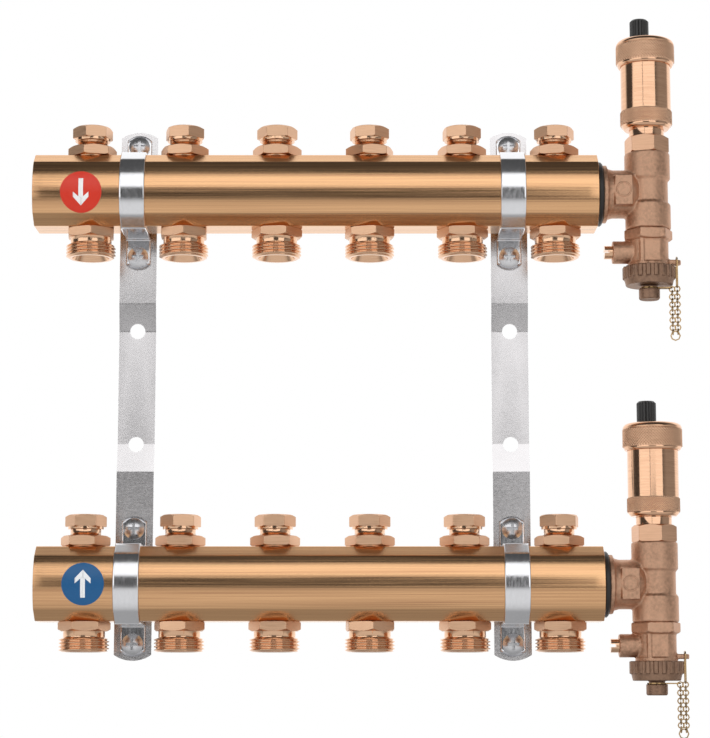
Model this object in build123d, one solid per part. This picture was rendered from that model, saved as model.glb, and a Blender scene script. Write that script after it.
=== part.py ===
from build123d import *
import math
import os

# A two-bar heating manifold for six circuits, with wall brackets, air vents and drain valves.
# The origin is the centre of the four wall holes, on the wall. The wall is the plane y = 0,
# the bars run along X in front of it, towards -Y, and +Z is up. Millimetres.

# Bars
BAR_SPACING = 210.0
WALL_HOLES_ABOVE_MIDDLE = 2.8
BAR_LEFT_OVERHANG = {"supply": 29.5, "return": 24.7}
BAR_RIGHT_OVERHANG = 22.1
BAR_HALF_HEIGHT = 19.5
BAR_HALF_DEPTH = 20.5
BAR_FLAT_HALF_DEPTH = 10.0
FACET_HALF_DEPTH = 17.0
FACET_DROP = 5.6
BAR_EDGE_ROUND = 0.5
BAR_BORE = 28.0
BAR_THREAD_BORE = 30.3
BAR_THREAD_LENGTH = 15.0
CIRCUITS = 6
CIRCUIT_PITCH = 50.0
FITTING_THREAD_BORE = 18.6

# Brackets and clamps
BRACKET_PITCH = 203.0
STRIP_WIDTH = 20.0
STRIP_THICK = 2.0
STRIP_BEYOND_BAR = 39.5
STRIP_SET_FORWARD = 3.0
STRIP_FLAT_HALF = 31.0
STRIP_SLOPE_END = 46.0
STRIP_BEND_ROUND = 5.0
STRIP_END_RADIUS = 17.7
WALL_HOLE_PITCH = 62.0
WALL_HOLE = 8.3
STRAP_WIDTH = 13.3
STRAP_THICK = 1.5
STRAP_FLANGE_END = 37.4
STRAP_END_RADIUS = 9.0
STRAP_BEND_ROUND = 2.2
CLAMP_SCREW_OFFSET = 30.8
STRAP_HOLE = 6.4
SCREW_SHANK = 5.9
SCREW_HEAD = 11.4
SCREW_HEAD_HEIGHT = 3.4
SCREW_HEAD_RIM = 1.1
SCREW_RECESS_WIDTH = 1.5
SCREW_RECESS_SPAN = 6.2
SCREW_RECESS_DEPTH = 1.9
COLLAR_OUTER = 8.6
COLLAR_HEIGHT = 2.4

# Valve inserts on top of the bars
INSERT_SEAT = 21.0
INSERT_SEAT_HEIGHT = 0.7
INSERT_HEX = 23.0
INSERT_HEX_HEIGHT = 5.2
INSERT_NECK = 16.2
INSERT_NECK_HEIGHT = 3.4
INSERT_CAP_THREAD = 13.6
INSERT_CAP_THREAD_HEIGHT = 4.2
INSERT_BORE = 9.2

# Protective caps
CAP_HEX = 19.0
CAP_HEX_HEIGHT = 6.2
CAP_SKIRT = 18.8
CAP_SKIRT_HEIGHT = 1.4
CAP_WALL_TOP = 1.6

# Regulating spindles
SPINDLE_HEAD_HEIGHT = 4.9
SPINDLE_STEM = 6.5
SPINDLE_KEY = 5.0
SPINDLE_KEY_DEPTH = 3.0
PLUG = 15.0
PLUG_HEIGHT = 4.0
PLUG_LIFT = 4.0

# Outlet nipples under the bars
NIPPLE_HEX = 24.0
NIPPLE_HEX_HEIGHT = 5.0
NIPPLE_NECK = 22.0
NIPPLE_NECK_HEIGHT = 3.2
NIPPLE_THREAD = 26.44
NIPPLE_THREAD_HEIGHT = 7.6
NIPPLE_FACE = 23.2
NIPPLE_BORE = 12.0
NIPPLE_CONE_MOUTH = 20.0
NIPPLE_CONE_END = 15.2
NIPPLE_CONE_DEPTH = 5.0
NIPPLE_SOCKET_DEPTH = 9.0

# Hex chamfers, measured down the corner edges
HEX_CHAMFER = 1.0

# Direction discs
DISC = 22.0
DISC_THICK = 0.4
DISC_FROM_END = 26.0
DISC_LIFT = {"supply": -2.9, "return": -0.7}

# End tees
TEE_OFFSET = 28.1
TEE_SPIGOT_CLEAR = 0.8
ORING_OUTER = 34.6
ORING_WIDTH = 3.0
ORING_SEAT = 28.6
TEE_COLLAR = 31.2
TEE_COLLAR_WIDTH = 2.6
TEE_GROOVE = 25.6
TEE_GROOVE_WIDTH = 0.8
TEE_SHOULDER = 27.4
TEE_SHOULDER_WIDTH = 2.4
TEE_BRANCH = 26.0
TEE_BRANCH_END = 6.3
TEE_BRANCH_BEVEL = 2.7
TEE_SOCKET = 24.4
TEE_TOP = 22.2
TEE_TOP_SOCKET_FROM = 6.4
TEE_WAIST = 21.8
TEE_BOTTOM_SOCKET_FROM = 4.8
TEE_BOTTOM = 19.9
TEE_BORE = 16.0
TEE_PORT = 18.8
TEE_PORT_DEPTH = 11.0
TEE_PAD_WIDTH = 9.5
TEE_PAD_HEIGHT = 16.5
TEE_PAD_FROM_AXIS = 14.3
TEE_PAD_FACE = 13.6
TEE_MOUTH_BEVEL = 0.6
TEE_SHOULDER_BEVEL = 1.6

# Air vents
VENT_HEX = 21.0
VENT_HEX_HEIGHT = 9.0
VENT_NECK = 19.0
VENT_NECK_HEIGHT = 4.5
VENT_CUP = 27.1
VENT_BAND = 28.0
VENT_BAND_LIFT = 2.1
VENT_BAND_HEIGHT = 7.9
VENT_CUP_HEIGHT = 27.4
VENT_WALL = 1.6
VENT_PASSAGE = 9.0
VENT_SPIGOT_LENGTH = 10.0
LID = 31.7
LID_HEIGHT = 14.4
LID_LAP = 2.4
LID_ROOF = 3.0
LID_CROWN_ROUND = 3.2
LID_FOOT_CHAMFER = 1.3
VENT_STUB = 5.0
VENT_STUB_HEIGHT = 7.0
VENT_STUB_OFFSET = 2.9
DUST_CAP = 10.3
DUST_CAP_HEIGHT = 11.7
DUST_CAP_RIBS = 18
DUST_CAP_GROOVE = 0.7
FLOAT = 19.0
FLOAT_HEIGHT = 20.0
FLOAT_STEM = 3.0
FLOAT_TRAVEL = 3.0

# Drain valves
DRAIN_SPIGOT_LENGTH = 10.0
DRAIN_HEX = 23.0
DRAIN_HEX_HEIGHT = 5.8
DRAIN_BODY = 21.2
DRAIN_BODY_HEIGHT = 12.6
DRAIN_FLAT = 9.4
DRAIN_RIB_WIDTH = 2.0
DRAIN_RIB_FROM_AXIS = 4.8
DRAIN_RIB_RISE = 0.6
DRAIN_FOOT = 22.0
DRAIN_FOOT_HEIGHT = 1.4
DRAIN_OUTLET = 22.4
DRAIN_OUTLET_LENGTH = 7.7
DRAIN_BORE = 12.0
DRAIN_BALL = 13.6
BALL_BORE = 8.0
BOSS = 12.2
BOSS_REACH = 19.5
BOSS_DROP = 12.1
STEM = 7.2
STEM_REACH = 24.0
STEM_SLOT_WIDTH = 1.6
STEM_SLOT_DEPTH = 2.6
EAR_REACH = 17.2
EAR_WIDTH = 6.4
EAR_THICK = 2.6
EAR_DROP = 16.4
EAR_HOLE = 1.8
EAR_HOLE_REACH = 14.6

# Drain caps
DRAIN_CAP = 28.4
DRAIN_CAP_RIB_HEIGHT = 6.6
DRAIN_CAP_TAPER_HEIGHT = 3.6
DRAIN_CAP_FOOT = 25.0
DRAIN_CAP_RIBS = 20
DRAIN_CAP_RIB_DEPTH = 0.9
DRAIN_CAP_ROOF = 2.4
KEY_NECK = 8.4
KEY_NECK_HEIGHT = 1.8
KEY_STUB = 11.3
KEY_STUB_HEIGHT = 5.8
KEY_SLOT_WIDTH = 1.8
KEY_SLOT_DEPTH = 1.8

# Chains
WIRE = 0.65
LINK_OUTER = 3.7
LINK_SIDES = 8
LINK_PLAY = 0.3
STRAND_LINKS = 12
STRAND_GAP_X = 2.6
STRAND_GAP_Y = 1.0
JOINING_LINK = 5.6
JOINING_DROP = 2.25
HOOK_CLEAR = 0.4
HOOK_RISE = 1.6
LOOP_REST = 0.1

# Clearances
THREAD_FIT = 0.05
RUNNING_FIT = 0.05
STRAP_FIT = 0.05
SEAT_GAP = 0.3
FLOAT_GAP = 0.4
CAP_GAP = 0.1

# Direction of one corner of each hexagon, in degrees from +X, from the open end to the tees
CAP_TURNS = {"supply": (17, 44, 1, 45, 39, 6), "return": (5, 14, 58, 57, 54, 17)}
INSERT_TURNS = {"supply": (16, 50, 58, 14, 50, 48), "return": (57, 2, 6, 57, 3, 48)}
NIPPLE_TURNS = {"supply": (36, 32, 53, 44, 56, 48), "return": (9, 47, 58, 37, 50, 49)}
VENT_TURN = 42
DRAIN_TURN = 5

# Places that follow from the sizes above
AXIS_Y = -(STRIP_SET_FORWARD + STRIP_THICK + BAR_HALF_DEPTH + STRAP_FIT)
BARS = {
    "supply": BAR_SPACING / 2 - WALL_HOLES_ABOVE_MIDDLE,
    "return": -BAR_SPACING / 2 - WALL_HOLES_ABOVE_MIDDLE,
}
SIDES = {"left": -BRACKET_PITCH / 2, "right": BRACKET_PITCH / 2}
STATIONS = [(i - (CIRCUITS - 1) / 2) * CIRCUIT_PITCH for i in range(CIRCUITS)]
BAR_LEFT = {name: STATIONS[0] - overhang for name, overhang in BAR_LEFT_OVERHANG.items()}
BAR_RIGHT = STATIONS[-1] + BAR_RIGHT_OVERHANG
TEE_X = BAR_RIGHT + TEE_OFFSET
TEE_SPIGOT_LENGTH = BAR_RIGHT_OVERHANG - FITTING_THREAD_BORE / 2 - TEE_SPIGOT_CLEAR
STRIP_LOW = BARS["return"] - STRIP_BEYOND_BAR
STRIP_HIGH = BARS["supply"] + STRIP_BEYOND_BAR


def turned(points):
    """Solid of revolution about Z of a half section given as (radius, height) corners."""
    return revolve(Plane.XZ * make_face(Polyline(*points, close=True)), Axis.Z)


def rod(diameter, low, high):
    """Upright cylinder between two heights."""
    return Pos(0, 0, low) * extrude(Circle(diameter / 2), high - low)


def rod_x(diameter, low, high):
    """Cylinder along X between two places."""
    return extrude(Plane.YZ.offset(low) * Circle(diameter / 2), high - low)


def hexagon(flats, low, high, turn=0.0, top=0.0, bottom=0.0):
    """Hexagonal prism whose corners are chamfered at 30 degrees by the given heights."""
    corner = flats / math.sqrt(3)
    face = Rot(0, 0, turn) * RegularPolygon(flats / 2, 6, major_radius=False)
    prism = Pos(0, 0, low) * extrude(face, high - low)
    slope = 1 / math.tan(math.radians(30))
    outline = [(0, low), (corner - bottom * slope, low)]
    if bottom:
        outline.append((corner, low + bottom))
    if top:
        outline.append((corner, high - top))
    outline += [(corner - top * slope, high), (0, high)]
    return prism & turned(outline)


def bar_outline(grow=0.0):
    """Section of a bar in (depth, height): flats above and below, facets and bowed sides."""
    low_edge = BAR_HALF_HEIGHT - FACET_DROP
    quarter = [(BAR_FLAT_HALF_DEPTH, BAR_HALF_HEIGHT), (FACET_HALF_DEPTH, low_edge)]
    (a, b), (c, d) = quarter
    lines = [
        Line((-a, b), (a, b)),
        Line((a, b), (c, d)),
        ThreePointArc((c, d), (BAR_HALF_DEPTH, 0), (c, -d)),
        Line((c, -d), (a, -b)),
        Line((a, -b), (-a, -b)),
        Line((-a, -b), (-c, -d)),
        ThreePointArc((-c, -d), (-BAR_HALF_DEPTH, 0), (-c, d)),
        Line((-c, d), (-a, b)),
    ]
    section = make_face(Curve() + lines)
    section = fillet(section.vertices(), BAR_EDGE_ROUND)
    if grow:
        section = offset(section, grow)
    return section


def bar(left):
    """Extruded bar from its left end on, with its bore, threaded ends and the fittings' holes."""
    body = extrude(Plane.YZ.offset(left) * bar_outline(), BAR_RIGHT - left)
    body -= rod_x(BAR_BORE, left, BAR_RIGHT)
    for low in (left, BAR_RIGHT - BAR_THREAD_LENGTH):
        body -= rod_x(BAR_THREAD_BORE, low, low + BAR_THREAD_LENGTH)
    for x in STATIONS:
        body -= Pos(x, 0, 0) * rod(FITTING_THREAD_BORE, -BAR_HALF_HEIGHT, BAR_HALF_HEIGHT)
    return body


def disc(lift):
    """Thin round label bent onto the front of a bar, its centre at a given height."""
    shell = extrude(Plane.YZ * (bar_outline(DISC_THICK) - bar_outline()), DISC / 2, both=True)
    return shell & extrude(Plane.XZ * Pos(0, lift) * Circle(DISC / 2), 2 * BAR_HALF_DEPTH)


def end_arcs(width, low, high, radius):
    """Face in (X, Z) of a strip whose two ends are bowed outwards."""
    half = width / 2
    bow = radius - math.sqrt(radius**2 - half**2)
    return make_face(
        Curve()
        + [
            Line((-half, low + bow), (-half, high - bow)),
            ThreePointArc((-half, high - bow), (0, high), (half, high - bow)),
            Line((half, high - bow), (half, low + bow)),
            ThreePointArc((half, low + bow), (0, low), (-half, low + bow)),
        ]
    )


def bracket():
    """Cranked steel strip: its middle lies on the wall, its ends stand forward of it."""
    set_forward = -STRIP_SET_FORWARD
    back = [(set_forward, STRIP_LOW), (set_forward, -STRIP_SLOPE_END), (0, -STRIP_FLAT_HALF)]
    back += [(0, STRIP_FLAT_HALF), (set_forward, STRIP_SLOPE_END), (set_forward, STRIP_HIGH)]
    front = [(y - STRIP_THICK, z) for y, z in reversed(back)]
    side = make_face(Polyline(*back, *front, close=True))
    bends = [v for v in side.vertices() if abs(v.Y) < 2 * STRIP_SLOPE_END]
    side = fillet(bends, STRIP_BEND_ROUND)
    body = extrude(Plane.YZ * side, STRIP_WIDTH / 2, both=True)
    ends = Plane.XZ * end_arcs(STRIP_WIDTH, STRIP_LOW, STRIP_HIGH, STRIP_END_RADIUS)
    body &= extrude(ends, BAR_HALF_DEPTH, both=True)
    across = Plane.XZ.offset(-1)
    for z in (-WALL_HOLE_PITCH / 2, WALL_HOLE_PITCH / 2):
        body -= extrude(across * Pos(0, z) * Circle(WALL_HOLE / 2), STRIP_THICK + 2)
    seat = Plane.XZ.offset(STRIP_SET_FORWARD)
    for z in clamp_screw_heights():
        body += extrude(seat * Pos(0, z) * Circle(COLLAR_OUTER / 2), -COLLAR_HEIGHT)
        hole = seat.offset(-COLLAR_HEIGHT) * Pos(0, z) * Circle(SCREW_SHANK / 2 + THREAD_FIT)
        body -= extrude(hole, COLLAR_HEIGHT + STRIP_THICK)
    return body


def clamp_screw_heights():
    """Heights of the eight clamp screws' two columns, from the lowest to the highest."""
    return [z + s * CLAMP_SCREW_OFFSET for z in sorted(BARS.values()) for s in (-1, 1)]


def clamp():
    """Steel strap bent round the front of a bar, with a screw flange above and below."""
    inner, outer = BAR_HALF_HEIGHT + STRAP_FIT, BAR_HALF_HEIGHT + STRAP_FIT + STRAP_THICK
    seat = BAR_HALF_DEPTH + STRAP_FIT
    wrap = bar_outline(STRAP_FIT + STRAP_THICK) - bar_outline(STRAP_FIT)
    wrap &= Pos(-seat, 0) * Rectangle(2 * seat, 4 * seat)
    for s in (-1, 1):
        leg = Polyline((0, s * inner), (seat, s * inner), (seat, s * STRAP_FLANGE_END),
                       (seat - STRAP_THICK, s * STRAP_FLANGE_END), (seat - STRAP_THICK, s * outer),
                       (0, s * outer), close=True)
        leg = make_face(leg)
        inside = leg.vertices().sort_by(lambda v: abs(v.X - seat + STRAP_THICK) + abs(v.Y - s * outer))[0]
        leg = fillet(inside, STRAP_BEND_ROUND - STRAP_THICK)
        outside = leg.vertices().sort_by(lambda v: abs(v.X - seat) + abs(v.Y - s * inner))[0]
        leg = fillet(outside, STRAP_BEND_ROUND)
        wrap += leg
    body = extrude(Plane.YZ * wrap, STRAP_WIDTH / 2, both=True)
    ends = Plane.XZ * end_arcs(STRAP_WIDTH, -STRAP_FLANGE_END, STRAP_FLANGE_END, STRAP_END_RADIUS)
    body &= extrude(ends, 2 * BAR_HALF_DEPTH, both=True)
    for s in (-1, 1):
        hole = Plane.XZ.offset(-seat) * Pos(0, s * CLAMP_SCREW_OFFSET) * Circle(STRAP_HOLE / 2)
        body -= extrude(hole, STRAP_THICK)
    return body


def clamp_screw():
    """Pan-head screw with a cross recess, its head's underside at the origin and its tip at +Y."""
    tip = -(STRAP_THICK + STRIP_THICK + COLLAR_HEIGHT)
    outline = [(0, tip), (SCREW_SHANK / 2, tip), (SCREW_SHANK / 2, 0), (SCREW_HEAD / 2, 0),
               (SCREW_HEAD / 2, SCREW_HEAD_RIM)]
    half, rise = SCREW_HEAD / 2, SCREW_HEAD_HEIGHT - SCREW_HEAD_RIM
    dome = (half**2 + rise**2) / (2 * rise)
    shoulder = (half / 2, SCREW_HEAD_HEIGHT - dome + math.sqrt(dome**2 - (half / 2) ** 2))
    crown = ThreePointArc(outline[-1], shoulder, (0, SCREW_HEAD_HEIGHT))
    section = make_face(Curve() + [Polyline(*outline), crown, Line((0, SCREW_HEAD_HEIGHT), (0, tip))])
    body = revolve(Plane.XZ * section, Axis.Z)
    cross = Rectangle(SCREW_RECESS_SPAN, SCREW_RECESS_WIDTH)
    cross += Rectangle(SCREW_RECESS_WIDTH, SCREW_RECESS_SPAN)
    body -= Pos(0, 0, SCREW_HEAD_HEIGHT - SCREW_RECESS_DEPTH) * extrude(cross, SCREW_RECESS_DEPTH)
    return Rot(90, 0, 0) * body


def valve_insert(turn):
    """Valve insert that stands on a bar's top flat, its foot screwed into the wall of the bar."""
    seat = BAR_HALF_HEIGHT
    foot = BAR_BORE / 2
    hex_low = seat + INSERT_SEAT_HEIGHT
    hex_high = hex_low + INSERT_HEX_HEIGHT
    neck_high = hex_high + INSERT_NECK_HEIGHT
    body = rod(FITTING_THREAD_BORE - 2 * THREAD_FIT, foot, seat)
    body += rod(INSERT_SEAT, seat, hex_low)
    body += hexagon(INSERT_HEX, hex_low, hex_high, turn, top=HEX_CHAMFER, bottom=HEX_CHAMFER / 2)
    body += rod(INSERT_NECK, hex_high, neck_high)
    body += rod(INSERT_CAP_THREAD, neck_high, neck_high + INSERT_CAP_THREAD_HEIGHT)
    return body - rod(INSERT_BORE, foot, neck_high + INSERT_CAP_THREAD_HEIGHT)


def insert_neck_top():
    """Height of the shoulder that a protective cap is screwed down to."""
    return BAR_HALF_HEIGHT + INSERT_SEAT_HEIGHT + INSERT_HEX_HEIGHT + INSERT_NECK_HEIGHT


def valve_cap(turn):
    """Hexagonal protective cap over a regulating spindle."""
    low = insert_neck_top() + CAP_GAP
    hex_low = low + CAP_SKIRT_HEIGHT
    high = hex_low + CAP_HEX_HEIGHT
    body = rod(CAP_SKIRT, low, hex_low)
    body += hexagon(CAP_HEX, hex_low, high, turn, top=HEX_CHAMFER)
    return body - rod(INSERT_CAP_THREAD + 2 * RUNNING_FIT, low, high - CAP_WALL_TOP)


def spindle():
    """Regulating spindle: a key socket above, a stem through the bar and a plug over the outlet."""
    head_high = insert_neck_top() + SPINDLE_HEAD_HEIGHT
    plug_low = PLUG_LIFT - BAR_BORE / 2
    body = rod(INSERT_BORE - 2 * RUNNING_FIT, BAR_BORE / 2, head_high)
    body += rod(SPINDLE_STEM, plug_low, BAR_BORE / 2)
    body += turned([(0, plug_low), (PLUG / 2 - 1, plug_low), (PLUG / 2, plug_low + 1),
                    (PLUG / 2, plug_low + PLUG_HEIGHT), (0, plug_low + PLUG_HEIGHT)])
    return body - hexagon(SPINDLE_KEY, head_high - SPINDLE_KEY_DEPTH, head_high)


def nipple(turn):
    """Outlet nipple under a bar: a hexagon, a neck, a pipe thread and a coned mouth."""
    seat = -BAR_HALF_HEIGHT
    hex_low = seat - NIPPLE_HEX_HEIGHT
    neck_low = hex_low - NIPPLE_NECK_HEIGHT
    low = neck_low - NIPPLE_THREAD_HEIGHT
    run_in = (NIPPLE_THREAD - NIPPLE_NECK) / 4
    run_out = (NIPPLE_THREAD - NIPPLE_FACE) / 4
    body = rod(FITTING_THREAD_BORE - 2 * THREAD_FIT, seat, -BAR_BORE / 2)
    body += hexagon(NIPPLE_HEX, hex_low, seat, turn, bottom=HEX_CHAMFER, top=HEX_CHAMFER / 2)
    body += turned([
        (0, low), (NIPPLE_FACE / 2, low), (NIPPLE_THREAD / 2, low + run_out),
        (NIPPLE_THREAD / 2, neck_low - run_in), (NIPPLE_NECK / 2, neck_low),
        (NIPPLE_NECK / 2, hex_low), (0, hex_low),
    ])
    body -= rod(NIPPLE_BORE, low, -BAR_BORE / 2)
    return body - turned([
        (0, low), (NIPPLE_CONE_MOUTH / 2, low), (NIPPLE_CONE_END / 2, low + NIPPLE_CONE_DEPTH),
        (NIPPLE_CONE_END / 2, low + NIPPLE_SOCKET_DEPTH), (0, low + NIPPLE_SOCKET_DEPTH),
    ])


def tee():
    """Cast tee whose branch screws into the bar's end, with a socket above and one below."""
    end = -TEE_OFFSET
    collar = end + ORING_WIDTH
    groove = collar + TEE_COLLAR_WIDTH
    shoulder = groove + TEE_GROOVE_WIDTH
    branch = shoulder + TEE_SHOULDER_WIDTH
    spigot = BAR_THREAD_BORE / 2 - THREAD_FIT
    half = TEE_BRANCH / 2
    body = Rot(0, 90, 0) * turned([
        (0, end - TEE_SPIGOT_LENGTH), (spigot, end - TEE_SPIGOT_LENGTH), (spigot, end),
        (ORING_SEAT / 2, end), (ORING_SEAT / 2, collar), (TEE_COLLAR / 2, collar),
        (TEE_COLLAR / 2, groove), (TEE_GROOVE / 2, groove), (TEE_GROOVE / 2, shoulder),
        (TEE_SHOULDER / 2, shoulder), (half, branch), (half, -TEE_BRANCH_END - TEE_BRANCH_BEVEL),
        (half - TEE_BRANCH_BEVEL, -TEE_BRANCH_END), (0, -TEE_BRANCH_END),
    ])
    body += tee_socket(TEE_TOP, TEE_TOP_SOCKET_FROM)
    body += tee_socket(-TEE_BOTTOM, -TEE_BOTTOM_SOCKET_FROM)
    body += rod(TEE_WAIST, -TEE_BOTTOM_SOCKET_FROM, TEE_TOP_SOCKET_FROM)
    body += Pos(-TEE_PAD_FROM_AXIS, 0, 0) * Box(TEE_PAD_WIDTH, 2 * TEE_PAD_FACE, TEE_PAD_HEIGHT)
    body -= Rot(0, 90, 0) * rod(TEE_BORE, end - TEE_SPIGOT_LENGTH, 0)
    body -= rod(TEE_BORE, -TEE_BOTTOM, TEE_TOP)
    body -= rod(TEE_PORT, TEE_TOP - TEE_PORT_DEPTH, TEE_TOP)
    return body - rod(TEE_PORT, -TEE_BOTTOM, TEE_PORT_DEPTH - TEE_BOTTOM)


def tee_socket(mouth, inner):
    """Upright socket of a tee, with a small bevel at its mouth and a larger one at its shoulder."""
    half = TEE_SOCKET / 2
    way = math.copysign(1, mouth - inner)
    return turned([
        (0, inner), (half - TEE_SHOULDER_BEVEL, inner), (half, inner + way * TEE_SHOULDER_BEVEL),
        (half, mouth - way * TEE_MOUTH_BEVEL), (half - TEE_MOUTH_BEVEL, mouth), (0, mouth),
    ])


def tee_oring():
    """Rubber ring squeezed between a bar's end and a tee's collar."""
    low, high = -TEE_OFFSET, ORING_WIDTH - TEE_OFFSET
    inner, outer, bulge = ORING_SEAT / 2, ORING_OUTER / 2, ORING_WIDTH / 4
    return Rot(0, 90, 0) * turned([
        (inner, low), (outer - bulge, low), (outer, low + bulge),
        (outer, high - bulge), (outer - bulge, high), (inner, high),
    ])


def vent_levels():
    """Heights of the vent's shoulders above the bar's axis, from its hexagon to its rim."""
    hex_high = TEE_TOP + VENT_HEX_HEIGHT
    neck_high = hex_high + VENT_NECK_HEIGHT
    band_low = neck_high + VENT_BAND_LIFT
    band_high = band_low + VENT_BAND_HEIGHT
    return hex_high, neck_high, band_low, band_high, band_high + VENT_CUP_HEIGHT


def vent_body(turn):
    """Turned vent body: spigot, hexagon, neck, lower band and a thin-walled cup."""
    hex_high, neck_high, band_low, band_high, rim = vent_levels()
    inner = VENT_CUP / 2 - VENT_WALL
    body = rod(TEE_PORT - 2 * THREAD_FIT, TEE_TOP - VENT_SPIGOT_LENGTH, TEE_TOP)
    body += hexagon(VENT_HEX, TEE_TOP, hex_high, turn, top=HEX_CHAMFER, bottom=HEX_CHAMFER / 2)
    body += turned([
        (0, hex_high), (VENT_NECK / 2, hex_high), (VENT_NECK / 2, neck_high),
        (VENT_BAND / 2 - VENT_BAND_LIFT, neck_high), (VENT_BAND / 2, band_low), (VENT_BAND / 2, band_high),
        (VENT_CUP / 2, band_high), (VENT_CUP / 2, rim), (0, rim),
    ])
    body -= rod(2 * inner, band_low, rim)
    return body - rod(VENT_PASSAGE, TEE_TOP - VENT_SPIGOT_LENGTH, band_low)


def vent_lid():
    """Lid screwed over the cup, with the outlet stub, off its middle, that the dust cap sits on."""
    rim = vent_levels()[-1]
    low = rim - LID_LAP
    high = low + LID_HEIGHT
    roof = high - LID_ROOF
    inner = VENT_CUP / 2 + RUNNING_FIT
    half, crown = LID / 2, LID_CROWN_ROUND
    body = turned([
        (0, roof), (inner - 1, roof), (inner - 1, rim), (inner, rim), (inner, low),
        (half - LID_FOOT_CHAMFER, low), (half, low + LID_FOOT_CHAMFER), (half, high - crown),
        (half - 0.29 * crown, high - 0.29 * crown), (half - crown, high), (0, high),
    ])
    outlet = Pos(-VENT_STUB_OFFSET, 0, 0)
    body += outlet * rod(VENT_STUB, high, high + VENT_STUB_HEIGHT)
    return body - outlet * rod(VENT_STUB / 2, roof, high + VENT_STUB_HEIGHT)


def lid_top():
    """Height of the lid's crown above the bar's axis."""
    return vent_levels()[-1] - LID_LAP + LID_HEIGHT


def dust_cap():
    """Ribbed plastic cap on the vent's outlet stub."""
    low = lid_top() + SEAT_GAP
    high = low + DUST_CAP_HEIGHT
    round_over = 1.0
    body = turned([(0, low), (DUST_CAP / 2, low), (DUST_CAP / 2, high - round_over),
                   (DUST_CAP / 2 - round_over, high), (0, high)])
    groove = Rot(0, 0, 45) * Box(DUST_CAP_GROOVE, DUST_CAP_GROOVE, 2 * DUST_CAP_HEIGHT)
    groove = Pos(DUST_CAP / 2, 0, 0) * groove
    for i in range(DUST_CAP_RIBS):
        body -= Pos(0, 0, low) * Rot(0, 0, i * 360 / DUST_CAP_RIBS) * groove
    stub_room = VENT_STUB_HEIGHT + SEAT_GAP
    return body - rod(VENT_STUB + 2 * RUNNING_FIT, low, low + stub_room)


def vent_float():
    """Float with the stem that reaches for the lid's valve seat."""
    low = vent_levels()[2] + FLOAT_GAP
    high = low + FLOAT_HEIGHT
    roof = lid_top() - LID_ROOF
    body = turned([(0, low), (FLOAT / 2 - 1.5, low), (FLOAT / 2, low + 1.5), (FLOAT / 2, high - 1.5),
                   (FLOAT / 2 - 1.5, high), (0, high)])
    return body + rod(FLOAT_STEM, high, roof - FLOAT_TRAVEL - FLOAT_GAP)


def drain_levels():
    """Heights of the drain valve's shoulders below the bar's axis, from its hexagon down."""
    hex_low = -TEE_BOTTOM - DRAIN_HEX_HEIGHT
    foot_high = hex_low - DRAIN_BODY_HEIGHT
    foot_low = foot_high - DRAIN_FOOT_HEIGHT
    return hex_low, foot_high, foot_low, foot_low - DRAIN_OUTLET_LENGTH


def drain_body(turn):
    """Cast drain valve: hexagon, flat-sided body with a rib, side boss, ear and outlet."""
    hex_low, foot_high, foot_low, outlet_low = drain_levels()
    axis = -TEE_BOTTOM - BOSS_DROP
    body = rod(TEE_PORT - 2 * THREAD_FIT, -TEE_BOTTOM, DRAIN_SPIGOT_LENGTH - TEE_BOTTOM)
    body += hexagon(DRAIN_HEX, hex_low, -TEE_BOTTOM, turn, top=HEX_CHAMFER / 2, bottom=HEX_CHAMFER)
    middle = Pos(0, 0, (foot_high + hex_low) / 2)
    block = rod(DRAIN_BODY, foot_high, hex_low)
    block &= middle * Box(DRAIN_BODY, 2 * DRAIN_FLAT, DRAIN_BODY_HEIGHT)
    rib = Box(DRAIN_RIB_WIDTH, 2 * (DRAIN_FLAT + DRAIN_RIB_RISE), DRAIN_BODY_HEIGHT)
    body += block + middle * Pos(-DRAIN_RIB_FROM_AXIS, 0, 0) * rib
    body += rod(DRAIN_FOOT, foot_low, foot_high)
    body += rod(DRAIN_OUTLET, outlet_low, foot_low)
    body += Pos(0, 0, axis) * rod_x(BOSS, -BOSS_REACH, 0)
    ear = Pos(EAR_REACH / 2 - EAR_WIDTH / 4, 0) * Rectangle(EAR_REACH - EAR_WIDTH / 2, EAR_WIDTH)
    ear += Pos(EAR_REACH - EAR_WIDTH / 2, 0) * Circle(EAR_WIDTH / 2)
    ear -= Pos(EAR_HOLE_REACH, 0) * Circle(EAR_HOLE / 2)
    body += Pos(0, 0, -TEE_BOTTOM - EAR_DROP) * extrude(ear, -EAR_THICK)
    body -= rod(DRAIN_BORE, outlet_low, DRAIN_SPIGOT_LENGTH - TEE_BOTTOM)
    body -= Pos(0, 0, axis) * Sphere(DRAIN_BALL / 2 + RUNNING_FIT)
    return body - Pos(0, 0, axis) * rod_x(STEM + 2 * RUNNING_FIT, -BOSS_REACH, 0)


def drain_stem():
    """Ball and stem of the drain valve in one piece, with a slot across the stem's end."""
    body = Sphere(DRAIN_BALL / 2) + rod_x(STEM, -STEM_REACH, 0)
    body -= rod(BALL_BORE, -DRAIN_BALL, DRAIN_BALL)
    slot = Box(2 * STEM_SLOT_DEPTH, STEM, STEM_SLOT_WIDTH)
    body -= Pos(-STEM_REACH, 0, 0) * slot
    return Pos(0, 0, -TEE_BOTTOM - BOSS_DROP) * body


def drain_cap_levels():
    """Heights of the drain cap's shoulders, from its rim down to the key stub's end."""
    rim = drain_levels()[2] - SEAT_GAP
    taper_high = rim - DRAIN_CAP_RIB_HEIGHT
    taper_low = taper_high - DRAIN_CAP_TAPER_HEIGHT
    neck_low = taper_low - KEY_NECK_HEIGHT
    return rim, taper_high, taper_low, neck_low, neck_low - KEY_STUB_HEIGHT


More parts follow.
